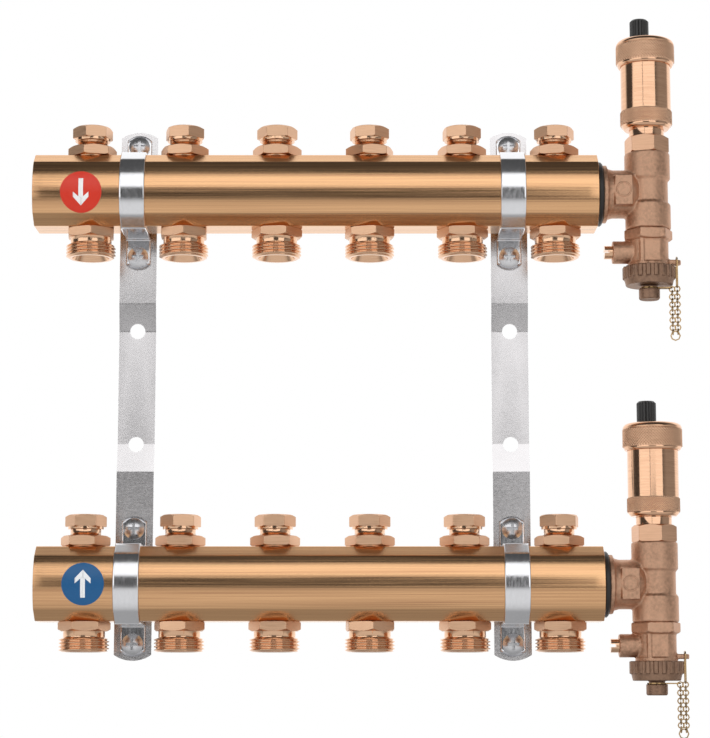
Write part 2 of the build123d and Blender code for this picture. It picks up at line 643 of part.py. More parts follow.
def drain_cap():
    """Ribbed blind cap on the drain outlet, with a slotted stub that turns the valve."""
    rim, taper_high, taper_low, neck_low, low = drain_cap_levels()
    body = turned([
        (0, low), (KEY_STUB / 2 - 0.6, low), (KEY_STUB / 2, low + 0.6), (KEY_STUB / 2, neck_low),
        (KEY_NECK / 2, neck_low), (KEY_NECK / 2, taper_low), (DRAIN_CAP_FOOT / 2, taper_low),
        (DRAIN_CAP / 2 - DRAIN_CAP_RIB_DEPTH, taper_high), (DRAIN_CAP / 2, taper_high),
        (DRAIN_CAP / 2, rim), (0, rim),
    ])
    groove_width = math.pi * DRAIN_CAP / DRAIN_CAP_RIBS / 2
    groove = Box(2 * DRAIN_CAP_RIB_DEPTH, groove_width, DRAIN_CAP_RIB_HEIGHT)
    groove = Pos(DRAIN_CAP / 2, 0, taper_high + DRAIN_CAP_RIB_HEIGHT / 2) * groove
    for i in range(DRAIN_CAP_RIBS):
        body -= Rot(0, 0, i * 360 / DRAIN_CAP_RIBS) * groove
    body -= rod(DRAIN_OUTLET + 2 * RUNNING_FIT, taper_low + DRAIN_CAP_ROOF, rim)
    return body - Pos(0, 0, low) * Box(KEY_STUB, KEY_SLOT_WIDTH, 2 * KEY_SLOT_DEPTH)


def ring(outer):
    """Flat-sided wire ring about Z with as many sides as a chain link has."""
    face = RegularPolygon(outer / 2, LINK_SIDES) - RegularPolygon(outer / 2 - WIRE, LINK_SIDES)
    return extrude(face, WIRE / 2, both=True)


def wire_loop(length, width):
    """Long wire loop about Z, its length along X, with round ends."""
    face = SlotOverall(length, width) - SlotOverall(length - 2 * WIRE, width - 2 * WIRE)
    return extrude(face, WIRE / 2, both=True)


def strand(x, y, top):
    """Links hanging one through the next, every second one turned across."""
    step = LINK_OUTER - 2 * WIRE - LINK_PLAY
    across = (Rot(90, 0, 0), Rot(0, 90, 0))
    return [Pos(x, y, top - i * step) * across[i % 2] * ring(LINK_OUTER) for i in range(STRAND_LINKS)]


def chain():
    """Keeper chain: a hook through the ear, two strands, the link that joins them, a neck loop."""
    neck = drain_cap_levels()[3] + WIRE / 2 + LOOP_REST
    top = neck - WIRE
    step = LINK_OUTER - 2 * WIRE - LINK_PLAY
    bottom = top - (STRAND_LINKS - 1) * step
    hook_width = EAR_WIDTH / 2 + HOOK_CLEAR + 2 * WIRE
    hook_high = -TEE_BOTTOM - EAR_DROP + HOOK_RISE
    hook_low = top + WIRE / 2
    right_y = (WIRE - hook_width) / 2
    left_x = EAR_HOLE_REACH - STRAND_GAP_X
    hook = Pos(EAR_HOLE_REACH, right_y, (hook_high + hook_low) / 2) * Rot(0, 90, 0)
    links = [hook * wire_loop(hook_high - hook_low, hook_width)]
    links += strand(EAR_HOLE_REACH, right_y, top)
    left_y = right_y + STRAND_GAP_Y
    links += strand(left_x, left_y, top)
    middle = Pos((left_x + EAR_HOLE_REACH) / 2, (left_y + right_y) / 2, bottom - JOINING_DROP)
    links.append(middle * Rot(90, 0, 0) * ring(JOINING_LINK))
    neck_outer = KEY_NECK / 2 + SEAT_GAP + WIRE
    tail_end = left_x + WIRE / 2
    tail = Pos(0, left_y) * SlotOverall(2 * tail_end, LINK_OUTER)
    tail &= Pos(tail_end / 2, left_y) * Rectangle(tail_end, LINK_OUTER)
    outline = Circle(neck_outer) + tail
    outline -= Circle(neck_outer - WIRE)
    outline -= Pos(0, left_y) * SlotOverall(2 * (tail_end - WIRE), LINK_OUTER - 2 * WIRE)
    links.append(Pos(0, 0, neck) * extrude(outline, WIRE / 2, both=True))
    return links


def at_bar(name, piece, x=0.0):
    """A piece modelled about a bar's axis, moved to that bar."""
    return Pos(x, AXIS_Y, BARS[name]) * piece


parts = {}
for side, x in SIDES.items():
    parts[f"bracket_{side}"] = Pos(x, 0, 0) * bracket()
screws = []
for name, z in BARS.items():
    parts[f"{name}_bar"] = at_bar(name, bar(BAR_LEFT[name]))
    parts[f"{name}_flow_disc"] = at_bar(name, disc(DISC_LIFT[name]), BAR_LEFT[name] + DISC_FROM_END)
    for side, x in SIDES.items():
        parts[f"{name}_clamp_{side}"] = at_bar(name, clamp(), x)
    for x in SIDES.values():
        for s in (-1, 1):
            seat = -(STRIP_SET_FORWARD + STRIP_THICK + STRAP_THICK)
            screws.append(Pos(x, seat, z + s * CLAMP_SCREW_OFFSET) * clamp_screw())
    parts[f"{name}_valve_inserts"] = Compound(
        children=[at_bar(name, valve_insert(t), x) for x, t in zip(STATIONS, INSERT_TURNS[name])])
    parts[f"{name}_outlet_nipples"] = Compound(
        children=[at_bar(name, nipple(t), x) for x, t in zip(STATIONS, NIPPLE_TURNS[name])])
    for i, (x, t) in enumerate(zip(STATIONS, CAP_TURNS[name]), start=1):
        parts[f"{name}_spindle_{i}"] = at_bar(name, spindle(), x)
        parts[f"{name}_valve_cap_{i}"] = at_bar(name, valve_cap(t), x)
    parts[f"{name}_end_tee"] = at_bar(name, tee(), TEE_X)
    parts[f"{name}_tee_seal"] = at_bar(name, tee_oring(), TEE_X)
    parts[f"{name}_vent_body"] = at_bar(name, vent_body(VENT_TURN), TEE_X)
    parts[f"{name}_vent_lid"] = at_bar(name, vent_lid(), TEE_X)
    parts[f"{name}_vent_dust_cap"] = at_bar(name, dust_cap(), TEE_X - VENT_STUB_OFFSET)
    parts[f"{name}_vent_float"] = at_bar(name, vent_float(), TEE_X)
    parts[f"{name}_drain_body"] = at_bar(name, drain_body(DRAIN_TURN), TEE_X)
    parts[f"{name}_drain_stem"] = at_bar(name, drain_stem(), TEE_X)
    parts[f"{name}_drain_cap"] = at_bar(name, drain_cap(), TEE_X)
    parts[f"{name}_keeper_chain"] = Compound(children=[at_bar(name, link, TEE_X) for link in chain()])
parts["clamp_screws"] = Compound(children=screws)

os.makedirs("parts", exist_ok=True)
for node, shape in parts.items():
    export_step(shape, f"parts/{node}.step")
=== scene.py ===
"""Surfaces, finishes, light and camera of a two-bar heating manifold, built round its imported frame."""

import logging
import math
from dataclasses import dataclass, replace
from enum import Enum

import bpy
import numpy as np
from mathutils import Matrix


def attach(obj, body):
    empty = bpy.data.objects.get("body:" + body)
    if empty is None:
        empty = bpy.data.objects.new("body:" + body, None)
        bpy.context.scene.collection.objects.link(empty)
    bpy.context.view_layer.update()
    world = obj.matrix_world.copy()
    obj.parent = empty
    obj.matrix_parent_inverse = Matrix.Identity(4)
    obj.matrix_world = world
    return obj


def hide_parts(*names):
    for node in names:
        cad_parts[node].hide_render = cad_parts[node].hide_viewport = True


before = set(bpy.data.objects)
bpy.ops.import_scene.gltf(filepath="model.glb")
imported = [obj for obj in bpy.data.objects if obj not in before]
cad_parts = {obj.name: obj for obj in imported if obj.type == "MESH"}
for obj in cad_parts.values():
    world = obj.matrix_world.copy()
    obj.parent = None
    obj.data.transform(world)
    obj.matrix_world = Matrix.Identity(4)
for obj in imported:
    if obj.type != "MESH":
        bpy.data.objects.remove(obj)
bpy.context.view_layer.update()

LOG = logging.getLogger("manifold")
MM = 0.001
ROOT = "manifold"

# Layout in millimetres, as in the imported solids
AXIS_Y = -25.55
STATIONS = tuple((i - 2.5) * 50.0 for i in range(6))
BRACKETS = {"left": -101.5, "right": 101.5}
TEE_X = 175.2
BAR_RIGHT = 147.1
BAR_HALF_HEIGHT = 19.5

# Least angle between an even column and one at a corner
LEAST_STEP = 0.02

# Shading of the pieces
MERGE_DISTANCE = 2e-6
SMOOTH_BELOW = math.radians(32)
FLAT_WEIGHT = 60
NOISE_RANGE = (0.3, 0.7)

Ramp = tuple[tuple[float, float], tuple[float, float]]


class Flow(Enum):
    """What a bar carries, as it stands in the names of its pieces."""

    SUPPLY = "supply"
    RETURN = "return"


@dataclass(frozen=True)
class BarSet:
    """Where a bar and its label lie in millimetres, and the turn of each hexagon on it in degrees."""

    flow: Flow
    height: float
    left: float
    disc_x: float
    disc_lift: float
    cap_turns: tuple[int, ...]
    insert_turns: tuple[int, ...]
    nipple_turns: tuple[int, ...]

    def show(self, surface: "Surface", x: float, name: str, finish: "Finish", stands_for: str = "") -> None:
        """Places a surface on the fixed body, from the bar's axis.

        Args:
            surface: The surface about the bar's axis.
            x: Where it goes along the bar, in millimetres.
            name: The rest of its name, after the bar's.
            finish: Its finish.
            stands_for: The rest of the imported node's name, if it stands for one.
        """
        replaced = (f"{self.flow.value}_{stands_for}",) if stands_for else ()
        place(surface.moved(x, AXIS_Y, self.height), f"{self.flow.value}_{name}", ROOT, finish, replaced)


BAR_SETS = (
    BarSet(Flow.SUPPLY, 102.2, -154.5, -128.5, -2.9,
           (17, 44, 1, 45, 39, 6), (16, 50, 58, 14, 50, 48), (36, 32, 53, 44, 56, 48)),
    BarSet(Flow.RETURN, -107.8, -149.7, -123.7, -0.7,
           (5, 14, 58, 57, 54, 17), (57, 2, 6, 57, 3, 48), (9, 47, 58, 37, 50, 49)),
)


@dataclass
class Surface:
    """Corner points in millimetres, the quads and triangles between them, and how far each point is milled."""

    points: np.ndarray
    quads: np.ndarray
    triangles: np.ndarray
    milled: np.ndarray | None = None

    def moved(self, x: float, y: float, z: float) -> "Surface":
        """Returns the surface shifted by that many millimetres."""
        return Surface(self.points + np.array([x, y, z]), self.quads, self.triangles, self.milled)


def joined(surfaces: list[Surface]) -> Surface:
    """Puts several surfaces into one, each with its own points.

    Args:
        surfaces: The surfaces, in any order.

    Returns:
        One surface that holds them all.
    """
    starts = np.cumsum([0] + [len(s.points) for s in surfaces[:-1]])
    milled = [np.zeros(len(s.points)) if s.milled is None else s.milled for s in surfaces]
    return Surface(
        np.concatenate([s.points for s in surfaces]),
        np.concatenate([s.quads + n for s, n in zip(surfaces, starts)]),
        np.concatenate([s.triangles + n for s, n in zip(surfaces, starts)]),
        np.concatenate(milled),
    )


def grid_faces(rows: int, columns: int, row_wrap: bool, column_wrap: bool) -> np.ndarray:
    """Quads of a grid whose point (i, j) has the number i * columns + j.

    Args:
        rows: Number of rows of points.
        columns: Number of points in a row.
        row_wrap: Whether the last row joins the first.
        column_wrap: Whether the last column joins the first.

    Returns:
        Point numbers, four to a quad.
    """
    i = np.arange(rows if row_wrap else rows - 1)[:, None]
    j = np.arange(columns if column_wrap else columns - 1)[None, :]
    after_i, after_j = (i + 1) % rows, (j + 1) % columns
    corners = [i * columns + j, i * columns + after_j, after_i * columns + after_j, after_i * columns + j]
    return np.stack(np.broadcast_arrays(*corners), axis=-1).reshape(-1, 4)


def ring_stack(radii: np.ndarray, heights: np.ndarray, angles: np.ndarray, loop: bool) -> Surface:
    """Closed surface of rings about Z: point = (r cos a, r sin a, z), r and z given for each row and angle.

    Rows run counter-clockwise in (radius, height): out along the bottom, up the outside and back in.

    Args:
        radii: Radius of each point, as rows by columns, or rows by one where a row is round.
        heights: Height of each point, in the same form.
        angles: Angle of each column, rising, in radians.
        loop: True where the last ring joins the first round a bore, False where both ends close on the axis.

    Returns:
        The surface, with its faces outwards.
    """
    radii, heights, turned = np.broadcast_arrays(radii, heights, angles[None, :])
    rows, columns = radii.shape
    points = np.stack([radii * np.cos(turned), radii * np.sin(turned), heights], axis=-1).reshape(-1, 3)
    quads = grid_faces(rows, columns, loop, True)
    triangles = np.zeros((0, 3), int)
    if not loop:
        j = np.arange(columns)
        after = (j + 1) % columns
        last = (rows - 1) * columns
        foot, head = np.full(columns, len(points)), np.full(columns, len(points) + 1)
        triangles = np.concatenate([np.column_stack([foot, after, j]), np.column_stack([last + j, last + after, head])])
        points = np.concatenate([points, [[0, 0, heights[0].mean()], [0, 0, heights[-1].mean()]]])
    return Surface(points, quads, triangles)


def softened(outline: list[tuple[float, float]], edge: float, loop: bool) -> np.ndarray:
    """Rounds an outline's corners: each becomes three points on the curve B(t) between two cuts.

    B(t) is the quadratic curve with the corner as its control point, and each cut lies at the edge's
    width from the corner, or at two fifths of the shorter side beside it.

    Args:
        outline: Corners as (radius, height).
        edge: Width of the rounding.
        loop: Whether the last corner is followed by the first.

    Returns:
        The softened outline, as rows of (radius, height).
    """
    corners = np.array(outline, float)
    before, after = np.roll(corners, 1, axis=0), np.roll(corners, -1, axis=0)
    back, ahead = before - corners, after - corners
    back_length, ahead_length = np.hypot(*back.T), np.hypot(*ahead.T)
    cut = np.minimum(edge, 0.4 * np.minimum(back_length, ahead_length))[:, None]
    first = corners + back / back_length[:, None] * cut
    last = corners + ahead / ahead_length[:, None] * cut
    middle = 0.25 * first + 0.5 * corners + 0.25 * last
    soft = np.stack([first, middle, last], axis=1)
    if loop:
        return soft.reshape(-1, 2)
    return np.concatenate([corners[:1], soft[1:-1].reshape(-1, 2), corners[-1:]])


def crowded_angles(columns: int, first: float, corners: np.ndarray, spread: np.ndarray) -> np.ndarray:
    """Even angles about an axis, with several round each corner in place of those that lie near it.

    Args:
        columns: Number of the even ones.
        first: The first of them in radians.
        corners: Angle of each corner in radians.
        spread: Offsets of the angles round a corner, in radians.

    Returns:
        Rising angles in radians.
    """
    near = (corners[:, None] + spread).ravel()
    even = first + np.arange(columns) * math.tau / columns
    gap = np.abs((even[:, None] - near + math.pi) % math.tau - math.pi).min(axis=1)
    return np.sort(np.concatenate([even[gap > LEAST_STEP], near]) % math.tau)


@dataclass(frozen=True)
class Hexagon:
    """A hexagonal prism about Z, one corner at its turn from +X, with 30 degree turned chamfers."""

    flats: float
    low: float
    high: float
    turn: float
    top: float = 1.0
    bottom: float = 0.5
    corner: float = 0.3
    edge: float = 0.12

    @property
    def corner_radius(self) -> float:
        """Distance of the unrounded corners from the axis."""
        return self.flats / math.sqrt(3)

    def angles(self, columns: int = 60) -> np.ndarray:
        """Even angles, with more of them at the six corners.

        Args:
            columns: Number of the even ones.

        Returns:
            Rising angles in radians.
        """
        turn = math.radians(self.turn)
        spread = math.atan2(self.corner / 2, self.corner_radius) * np.array([-1.6, -0.8, 0, 0.8, 1.6])
        return crowded_angles(columns, turn, turn + np.arange(6) * math.pi / 3, spread)

    def radius(self, angles: np.ndarray) -> np.ndarray:
        """Distance from the axis: apothem / cos(angle from the flat), or the corner arc where that is nearer.

        Args:
            angles: Angles about the axis in radians.

        Returns:
            One radius for each angle.
        """
        apothem = self.flats / 2
        sixth = math.pi / 3
        from_corner = (angles - math.radians(self.turn) + sixth / 2) % sixth - sixth / 2
        flat = apothem / np.cos(sixth / 2 - np.abs(from_corner))
        centre = (apothem - self.corner) / math.cos(sixth / 2)
        inside = np.clip(self.corner**2 - (centre * np.sin(from_corner)) ** 2, 0, None)
        arc = centre * np.cos(from_corner) + np.sqrt(inside)
        limit = math.atan2(self.corner / 2, centre + self.corner * math.cos(sixth / 2))
        return np.where(np.abs(from_corner) < limit, arc, flat)

    def rows(self, angles: np.ndarray) -> tuple[np.ndarray, np.ndarray]:
        """Rings of the sides and chamfers, where a chamfer takes (r - start) tan 30 off the height.

        Args:
            angles: Angles about the axis in radians.

        Returns:
            Radii and heights of six rings, from the bottom face's rim to the top face's rim.
        """
        radius = self.radius(angles)
        slope = math.tan(math.radians(30))
        rings = []
        for face, chamfer, sign in ((self.low, self.bottom, 1), (self.high, self.top, -1)):
            start = self.corner_radius - chamfer / slope
            over = np.clip(radius - start, 0, None) * slope
            rim = np.minimum(radius - self.edge, start - self.edge / 2)
            near = np.minimum(radius - 0.4 * self.edge, start + 0.3 * self.edge + over / slope * 0.97)
            side = face + sign * (self.edge + over)
            rings.append([(rim, np.full_like(rim, face)), (near, side - sign * 0.7 * self.edge), (radius, side)])
        ordered = rings[0] + rings[1][::-1]
        return np.stack([r for r, _ in ordered]), np.stack([z for _, z in ordered])


def stacked(
    parts: list[tuple[np.ndarray, np.ndarray]], angles: np.ndarray, loop: bool, milled: tuple[int, ...] = ()
) -> Surface:
    """Rings of several parts of a profile, one part after the other.

    Args:
        parts: Radii and heights of each part's rings, as rows by columns or rows by one.
        angles: Angle of each column in radians.
        loop: True round a bore, False where both ends close on the axis.
        milled: Which of the parts have milled faces.

    Returns:
        The closed surface.
    """
    columns = len(angles)
    radii = np.concatenate([np.broadcast_to(r, (len(r), columns)) for r, _ in parts])
    heights = np.concatenate([np.broadcast_to(z, (len(z), columns)) for _, z in parts])
    surface = ring_stack(radii, heights, angles, loop)
    share = np.concatenate([np.full(len(r) * columns, float(k in milled)) for k, (r, _) in enumerate(parts)])
    surface.milled = np.pad(share, (0, len(surface.points) - len(share)))
    return surface


def round_rows(outline: list[tuple[float, float]], edge: float = 0.12) -> tuple[np.ndarray, np.ndarray]:
    """Radii and heights of round rings along an open outline with softened corners.

    Args:
        outline: Corners as (radius, height).
        edge: Width of the rounding.

    Returns:
        Radii and heights, as rows by one.
    """
    soft = softened(outline, edge, False)
    return soft[:, :1], soft[:, 1:]


@dataclass(frozen=True)
class Thread:
    """An outer pipe thread about Z whose crests run out into cones at both ends."""

    crest: float
    depth: float
    pitch: float
    low: float
    high: float
    low_radius: float
    high_radius: float
    rows_per_turn: int = 12
    root_share: float = 0.12
    flank_share: float = 0.72
    cone_slope: float = 2.0

    def rows(self, angles: np.ndarray) -> tuple[np.ndarray, np.ndarray]:
        """Rings of r = root + depth * s(t), with t the share of a turn, height / pitch - angle / (2 pi).

        s rises and falls once over t by a smooth step, and r stays under the cones at both ends.

        Args:
            angles: Angles about the axis in radians.

        Returns:
            Radii and heights, as rows by columns, from the lower end up.
        """
        count = int((self.high - self.low) / self.pitch * self.rows_per_turn) + 1
        heights = np.linspace(self.low, self.high, count)[:, None]
        share = (heights / self.pitch - angles / (2 * math.pi)) % 1
        wave = np.clip((1 - np.abs(2 * share - 1) - self.root_share) / self.flank_share, 0, 1)
        radius = self.crest - self.depth + self.depth * wave * wave * (3 - 2 * wave)
        cone = np.minimum(self.low_radius + (heights - self.low) * self.cone_slope,
                          self.high_radius + (self.high - heights) * self.cone_slope)
        return np.minimum(radius, cone), np.broadcast_to(heights, radius.shape)


@dataclass(frozen=True)
class Knurl:
    """A diamond knurl round a cylinder about Z."""

    radius: float
    low: float
    high: float
    diamonds: int = 64
    depth: float = 0.55
    samples: int = 6
    steepness: float = 1.5
    run_out: float = 0.5

    def angles(self) -> np.ndarray:
        """Angles that fall on each diamond's sides and middle."""
        columns = self.diamonds * self.samples
        return np.arange(columns) * 2 * math.pi / columns

    def rows(self, angles: np.ndarray) -> tuple[np.ndarray, np.ndarray]:
        """Rings of r = radius - depth * (1 - p), with p the lesser distance from two crossed sets of grooves.

        Args:
            angles: Angles about the axis in radians.

        Returns:
            Radii and heights, as rows by columns, from the lower edge up.
        """
        pitch = 2 * math.pi * self.radius / self.diamonds
        count = int((self.high - self.low) / pitch * self.samples) + 1
        heights = np.linspace(self.low, self.high, count)[:, None]
        around = angles * self.diamonds / (2 * math.pi)
        up = (heights - self.low) / pitch
        groove = [np.abs(2 * ((around + sign * up) % 1) - 1) for sign in (-1, 1)]
        peak = np.clip(np.minimum(*groove) * self.steepness, 0, 1)
        ends = np.clip(np.minimum(heights - self.low, self.high - heights) / self.run_out, 0, 1)
        return self.radius - self.depth * (1 - peak * ends), np.broadcast_to(heights, peak.shape)


class Mix(Enum):
    """What a mix node mixes, with the numbers of its first input and its output of that kind."""

    RGBA = (6, 2)
    FLOAT = (2, 0)


class Nodes:
    """Adds nodes to one node tree and joins their sockets."""

    def __init__(self, tree: bpy.types.NodeTree) -> None:
        """Empties the tree."""
        self.tree = tree
        tree.nodes.clear()

    def add(self, kind: str, options: dict[str, object] | None = None, **inputs: object) -> bpy.types.Node:
        """Adds a node.

        Args:
            kind: The node's type.
            options: Settings of the node itself.
            inputs: A value or another node's output for each input, with _ for a space in its name.

        Returns:
            The node.
        """
        node = self.tree.nodes.new(kind)
        for key, value in (options or {}).items():
            setattr(node, key, value)
        for key, value in inputs.items():
            socket = node.inputs[key.replace("_", " ")]
            self.join(value, socket)
        return node

    def join(self, value: object, socket: bpy.types.NodeSocket) -> None:
        """Links an output to a socket, or sets the socket's own value."""
        if isinstance(value, bpy.types.NodeSocket):
            self.tree.links.new(value, socket)
        else:
            socket.default_value = value

    def mix(self, factor: object, a: object, b: object, kind: Mix) -> bpy.types.NodeSocket:
        """Mixes two colours or two numbers.

        Args:
            factor: Share of the second one.
            a: First one.
            b: Second one.
            kind: Whether they are colours or numbers.

        Returns:
            The mixture's output.
        """
        node = self.add("ShaderNodeMix", {"data_type": kind.name})
        first, output = kind.value
        for value, index in ((factor, 0), (a, first), (b, first + 1)):
            self.join(value, node.inputs[index])
        return node.outputs[output]

    def span(
        self, value: bpy.types.NodeSocket, source: tuple[float, float], target: tuple[float, float], soft: bool = False
    ) -> bpy.types.NodeSocket:
        """Maps a value from one range to another and clamps it there.

        Args:
            value: The value's output.
            source: Where the value starts and ends.
            target: What that becomes.
            soft: Whether both ends of the range are eased.

        Returns:
            The mapped value's output.
        """
        node = self.add("ShaderNodeMapRange", {"interpolation_type": "SMOOTHSTEP" if soft else "LINEAR"}, Value=value,
                        From_Min=source[0], From_Max=source[1], To_Min=target[0], To_Max=target[1])
        return node.outputs["Result"]

    def sum(self, operation: str, a: object, b: object) -> bpy.types.NodeSocket:
        """Joins two numbers by an operation.

        Args:
            operation: Name of the operation, such as ADD or MULTIPLY.
            a: First number.
            b: Second number.

        Returns:
            The result's output.
        """
        node = self.add("ShaderNodeMath", {"operation": operation})
        self.join(a, node.inputs[0])
        self.join(b, node.inputs[1])
        return node.outputs[0]

    def grain(self, per_metre: tuple[float, float, float], detail: float = 3.0) -> bpy.types.NodeSocket:
        """Noise on Object coordinates, stretched where it has fewer cells in a metre.

        Args:
            per_metre: Cells in a metre along X, Y and Z.
            detail: Octaves of the noise.

        Returns:
            The noise's output, from 0 to 1.
        """
        place = self.add("ShaderNodeTexCoord").outputs["Object"]
        scaled = self.add("ShaderNodeMapping", Vector=place, Scale=per_metre)
        noise = self.add("ShaderNodeTexNoise", Vector=scaled.outputs["Vector"], Scale=1.0, Detail=detail)
        return noise.outputs[0]


@dataclass(frozen=True)
class Finish:
    """A surface finish: two tones, a fine grain along one direction, and a broad unevenness.

    Points marked as milled add the milled roughness. Each bend tips the surface's light between two heights
    in millimetres by an angle in degrees, upwards where it is positive.
    """

    name: str
    slot: str
    tone: tuple[float, float, float]
    deep: tuple[float, float, float]
    metallic: float
    roughness: tuple[float, float]
    grain: tuple[float, float, float]
    relief: float
    milled: float = 0.3
    broad: tuple[float, float, float] = (60.0, 60.0, 60.0)
    bends: tuple[tuple[float, float, float], ...] = ()

    def material(self) -> bpy.types.Material:
        """Builds the finish's material, or returns the one already built."""
        made = bpy.data.materials.get(self.name)
        if made:
            return made
        made = bpy.data.materials.new(self.name)
        made.use_nodes = True
        nodes = Nodes(made.node_tree)
        fine = nodes.grain(self.grain, 4.0)
        broad = nodes.grain(self.broad, 2.0)
        share = nodes.span(fine, NOISE_RANGE, (0.0, 1.0))
        uneven = nodes.span(broad, NOISE_RANGE, (0.0, 0.7))
        streaked = nodes.mix(share, (*self.deep, 1), (*self.tone, 1), Mix.RGBA)
        colour = nodes.mix(uneven, streaked, (*self.tone, 1), Mix.RGBA)
        turned = nodes.span(fine, NOISE_RANGE, self.roughness)
        mark = nodes.add("ShaderNodeAttribute", {"attribute_name": "milled"}).outputs["Fac"]
        rough = nodes.sum("ADD", turned, nodes.sum("MULTIPLY", mark, self.milled))
        normal = nodes.add("ShaderNodeBump", Height=fine, Strength=1.0, Distance=self.relief * MM).outputs["Normal"]
        if self.bends:
            place = nodes.add("ShaderNodeTexCoord").outputs["Object"]
            height = nodes.add("ShaderNodeSeparateXYZ", Vector=place).outputs["Z"]
            lean = 0.0
            for low, high, angle in self.bends:
                rise = -math.tan(math.radians(angle)) * (high - low) * MM
                lean = nodes.sum("ADD", lean, nodes.span(height, (low * MM, high * MM), (0.0, rise)))
            leant = nodes.add("ShaderNodeBump", Height=lean, Strength=1.0, Distance=1.0, Normal=normal)
            normal = leant.outputs["Normal"]
        shader = nodes.add("ShaderNodeBsdfPrincipled", Base_Color=colour, Metallic=self.metallic, Roughness=rough,
                           Normal=normal)
        out = nodes.add("ShaderNodeOutputMaterial")
        nodes.join(shader.outputs["BSDF"], out.inputs["Surface"])
        return made


BAR_BRASS = Finish("extruded_brass", "bar_brass", (0.84, 0.50, 0.26), (0.50, 0.265, 0.14), 1.0, (0.14, 0.27),
                   (10.0, 1500.0, 1500.0), 0.010, broad=(3.0, 260.0, 260.0))
TURNED_BRASS = Finish("lathe_turned_brass", "turned_brass", (0.80, 0.51, 0.33), (0.66, 0.40, 0.25), 1.0, (0.10, 0.20),
                      (120.0, 120.0, 2600.0), 0.006, milled=0.26)
CAST_BRASS = Finish("sand_cast_brass", "cast_brass", (0.74, 0.455, 0.305), (0.42, 0.245, 0.16), 1.0, (0.46, 0.60),
                    (620.0, 620.0, 620.0), 0.14)
DARK_CAST_BRASS = replace(CAST_BRASS, name="dark_cast_brass", tone=(0.40, 0.25, 0.17), deep=(0.20, 0.12, 0.085),
                          roughness=(0.44, 0.58), relief=0.12)
CHAIN_BRASS = Finish("chain_brass", "turned_brass", (0.52, 0.35, 0.17), (0.24, 0.15, 0.07), 1.0, (0.18, 0.30),
                     (500.0, 500.0, 500.0), 0.004)
VENT_BRASS = Finish("polished_brass", "vent_brass", (0.78, 0.48, 0.31), (0.62, 0.36, 0.225), 1.0, (0.08, 0.15),
                    (90.0, 90.0, 1500.0), 0.003, milled=0.28, bends=((-90.0, -20.0, 5.0),))
ZINC = Finish("zinc_plate", "zinc_steel", (0.82, 0.82, 0.84), (0.74, 0.74, 0.76), 1.0, (0.12, 0.20),
              (900.0, 900.0, 240.0), 0.004)
STRIP_ZINC = Finish("drawn_zinc", "zinc_steel", (0.80, 0.78, 0.79), (0.66, 0.645, 0.65), 1.0, (0.22, 0.30),
                    (700.0, 700.0, 2600.0), 0.002, bends=((-95.0, -46.0, -5.5), (-31.0, 31.0, 2.6), (46.0, 72.0, 0.7)))
SCREW_ZINC = Finish("screw_zinc", "zinc_steel", (0.78, 0.78, 0.80), (0.62, 0.62, 0.64), 1.0, (0.26, 0.34),
                    (600.0, 600.0, 600.0), 0.010)
BLACK_PLASTIC = Finish("moulded_black_plastic", "black_plastic", (0.030, 0.029, 0.028), (0.022, 0.022, 0.022), 0.0,
                       (0.34, 0.46), (1500.0, 1500.0, 1500.0), 0.01)
BLACK_RUBBER = Finish("smooth_black_rubber", "black_rubber", (0.022, 0.021, 0.020), (0.016, 0.016, 0.016), 0.0,
                      (0.40, 0.52), (1200.0, 1200.0, 1200.0), 0.01)
FLOAT_PLASTIC = Finish("moulded_float_plastic", "float_plastic", (0.80, 0.79, 0.75), (0.74, 0.73, 0.69), 0.0,
                       (0.4, 0.5), (500.0, 500.0, 500.0), 0.01)
RED_FILM = Finish("red_film", "red_label", (0.68, 0.028, 0.006), (0.62, 0.022, 0.004), 0.0, (0.28, 0.36),
                  (700.0, 700.0, 700.0), 0.004)
BLUE_FILM = replace(RED_FILM, name="blue_film", slot="blue_label", tone=(0.001, 0.098, 0.27), deep=(0.001, 0.088, 0.25))
WHITE_ON_RED = replace(RED_FILM, name="white_on_red", tone=(0.92, 0.90, 0.90), deep=(0.88, 0.86, 0.86))
WHITE_ON_BLUE = replace(BLUE_FILM, name="white_on_blue", tone=(0.88, 0.90, 0.92), deep=(0.84, 0.86, 0.88))
LABEL_FILMS = {Flow.SUPPLY: RED_FILM, Flow.RETURN: BLUE_FILM}
LABEL_PRINTS = {Flow.SUPPLY: WHITE_ON_RED, Flow.RETURN: WHITE_ON_BLUE}


def place(surface: Surface, name: str, body: str, finish: Finish, stands_for: tuple[str, ...] = ()) -> None:
    """Makes a surface into a shown object at the origin that rides on a body.

    Args:
        surface: The surface in millimetres, in the frame's place.
        name: The object's name.
        body: The body that it rides on.
        finish: Its finish.
        stands_for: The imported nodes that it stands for.
    """
    mesh = bpy.data.meshes.new(name)
    mesh.from_pydata((surface.points * MM).tolist(), [], surface.quads.tolist() + surface.triangles.tolist())
    mesh.polygons.foreach_set("use_smooth", np.ones(len(mesh.polygons), bool))
    mesh.materials.append(finish.material())
    if surface.milled is not None and surface.milled.any():
        mesh.attributes.new("milled", "FLOAT", "POINT").data.foreach_set("value", surface.milled)
    mesh.update()
    piece = bpy.data.objects.new(name, mesh)
    bpy.context.scene.collection.objects.link(piece)
    crisp = piece.modifiers.new("flat faces stay flat", "WEIGHTED_NORMAL")
    crisp.weight = FLAT_WEIGHT
    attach(piece, body)
    if stands_for:
        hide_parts(*stands_for)
    LOG.info("%s: %d faces on %s", name, len(mesh.polygons), body)


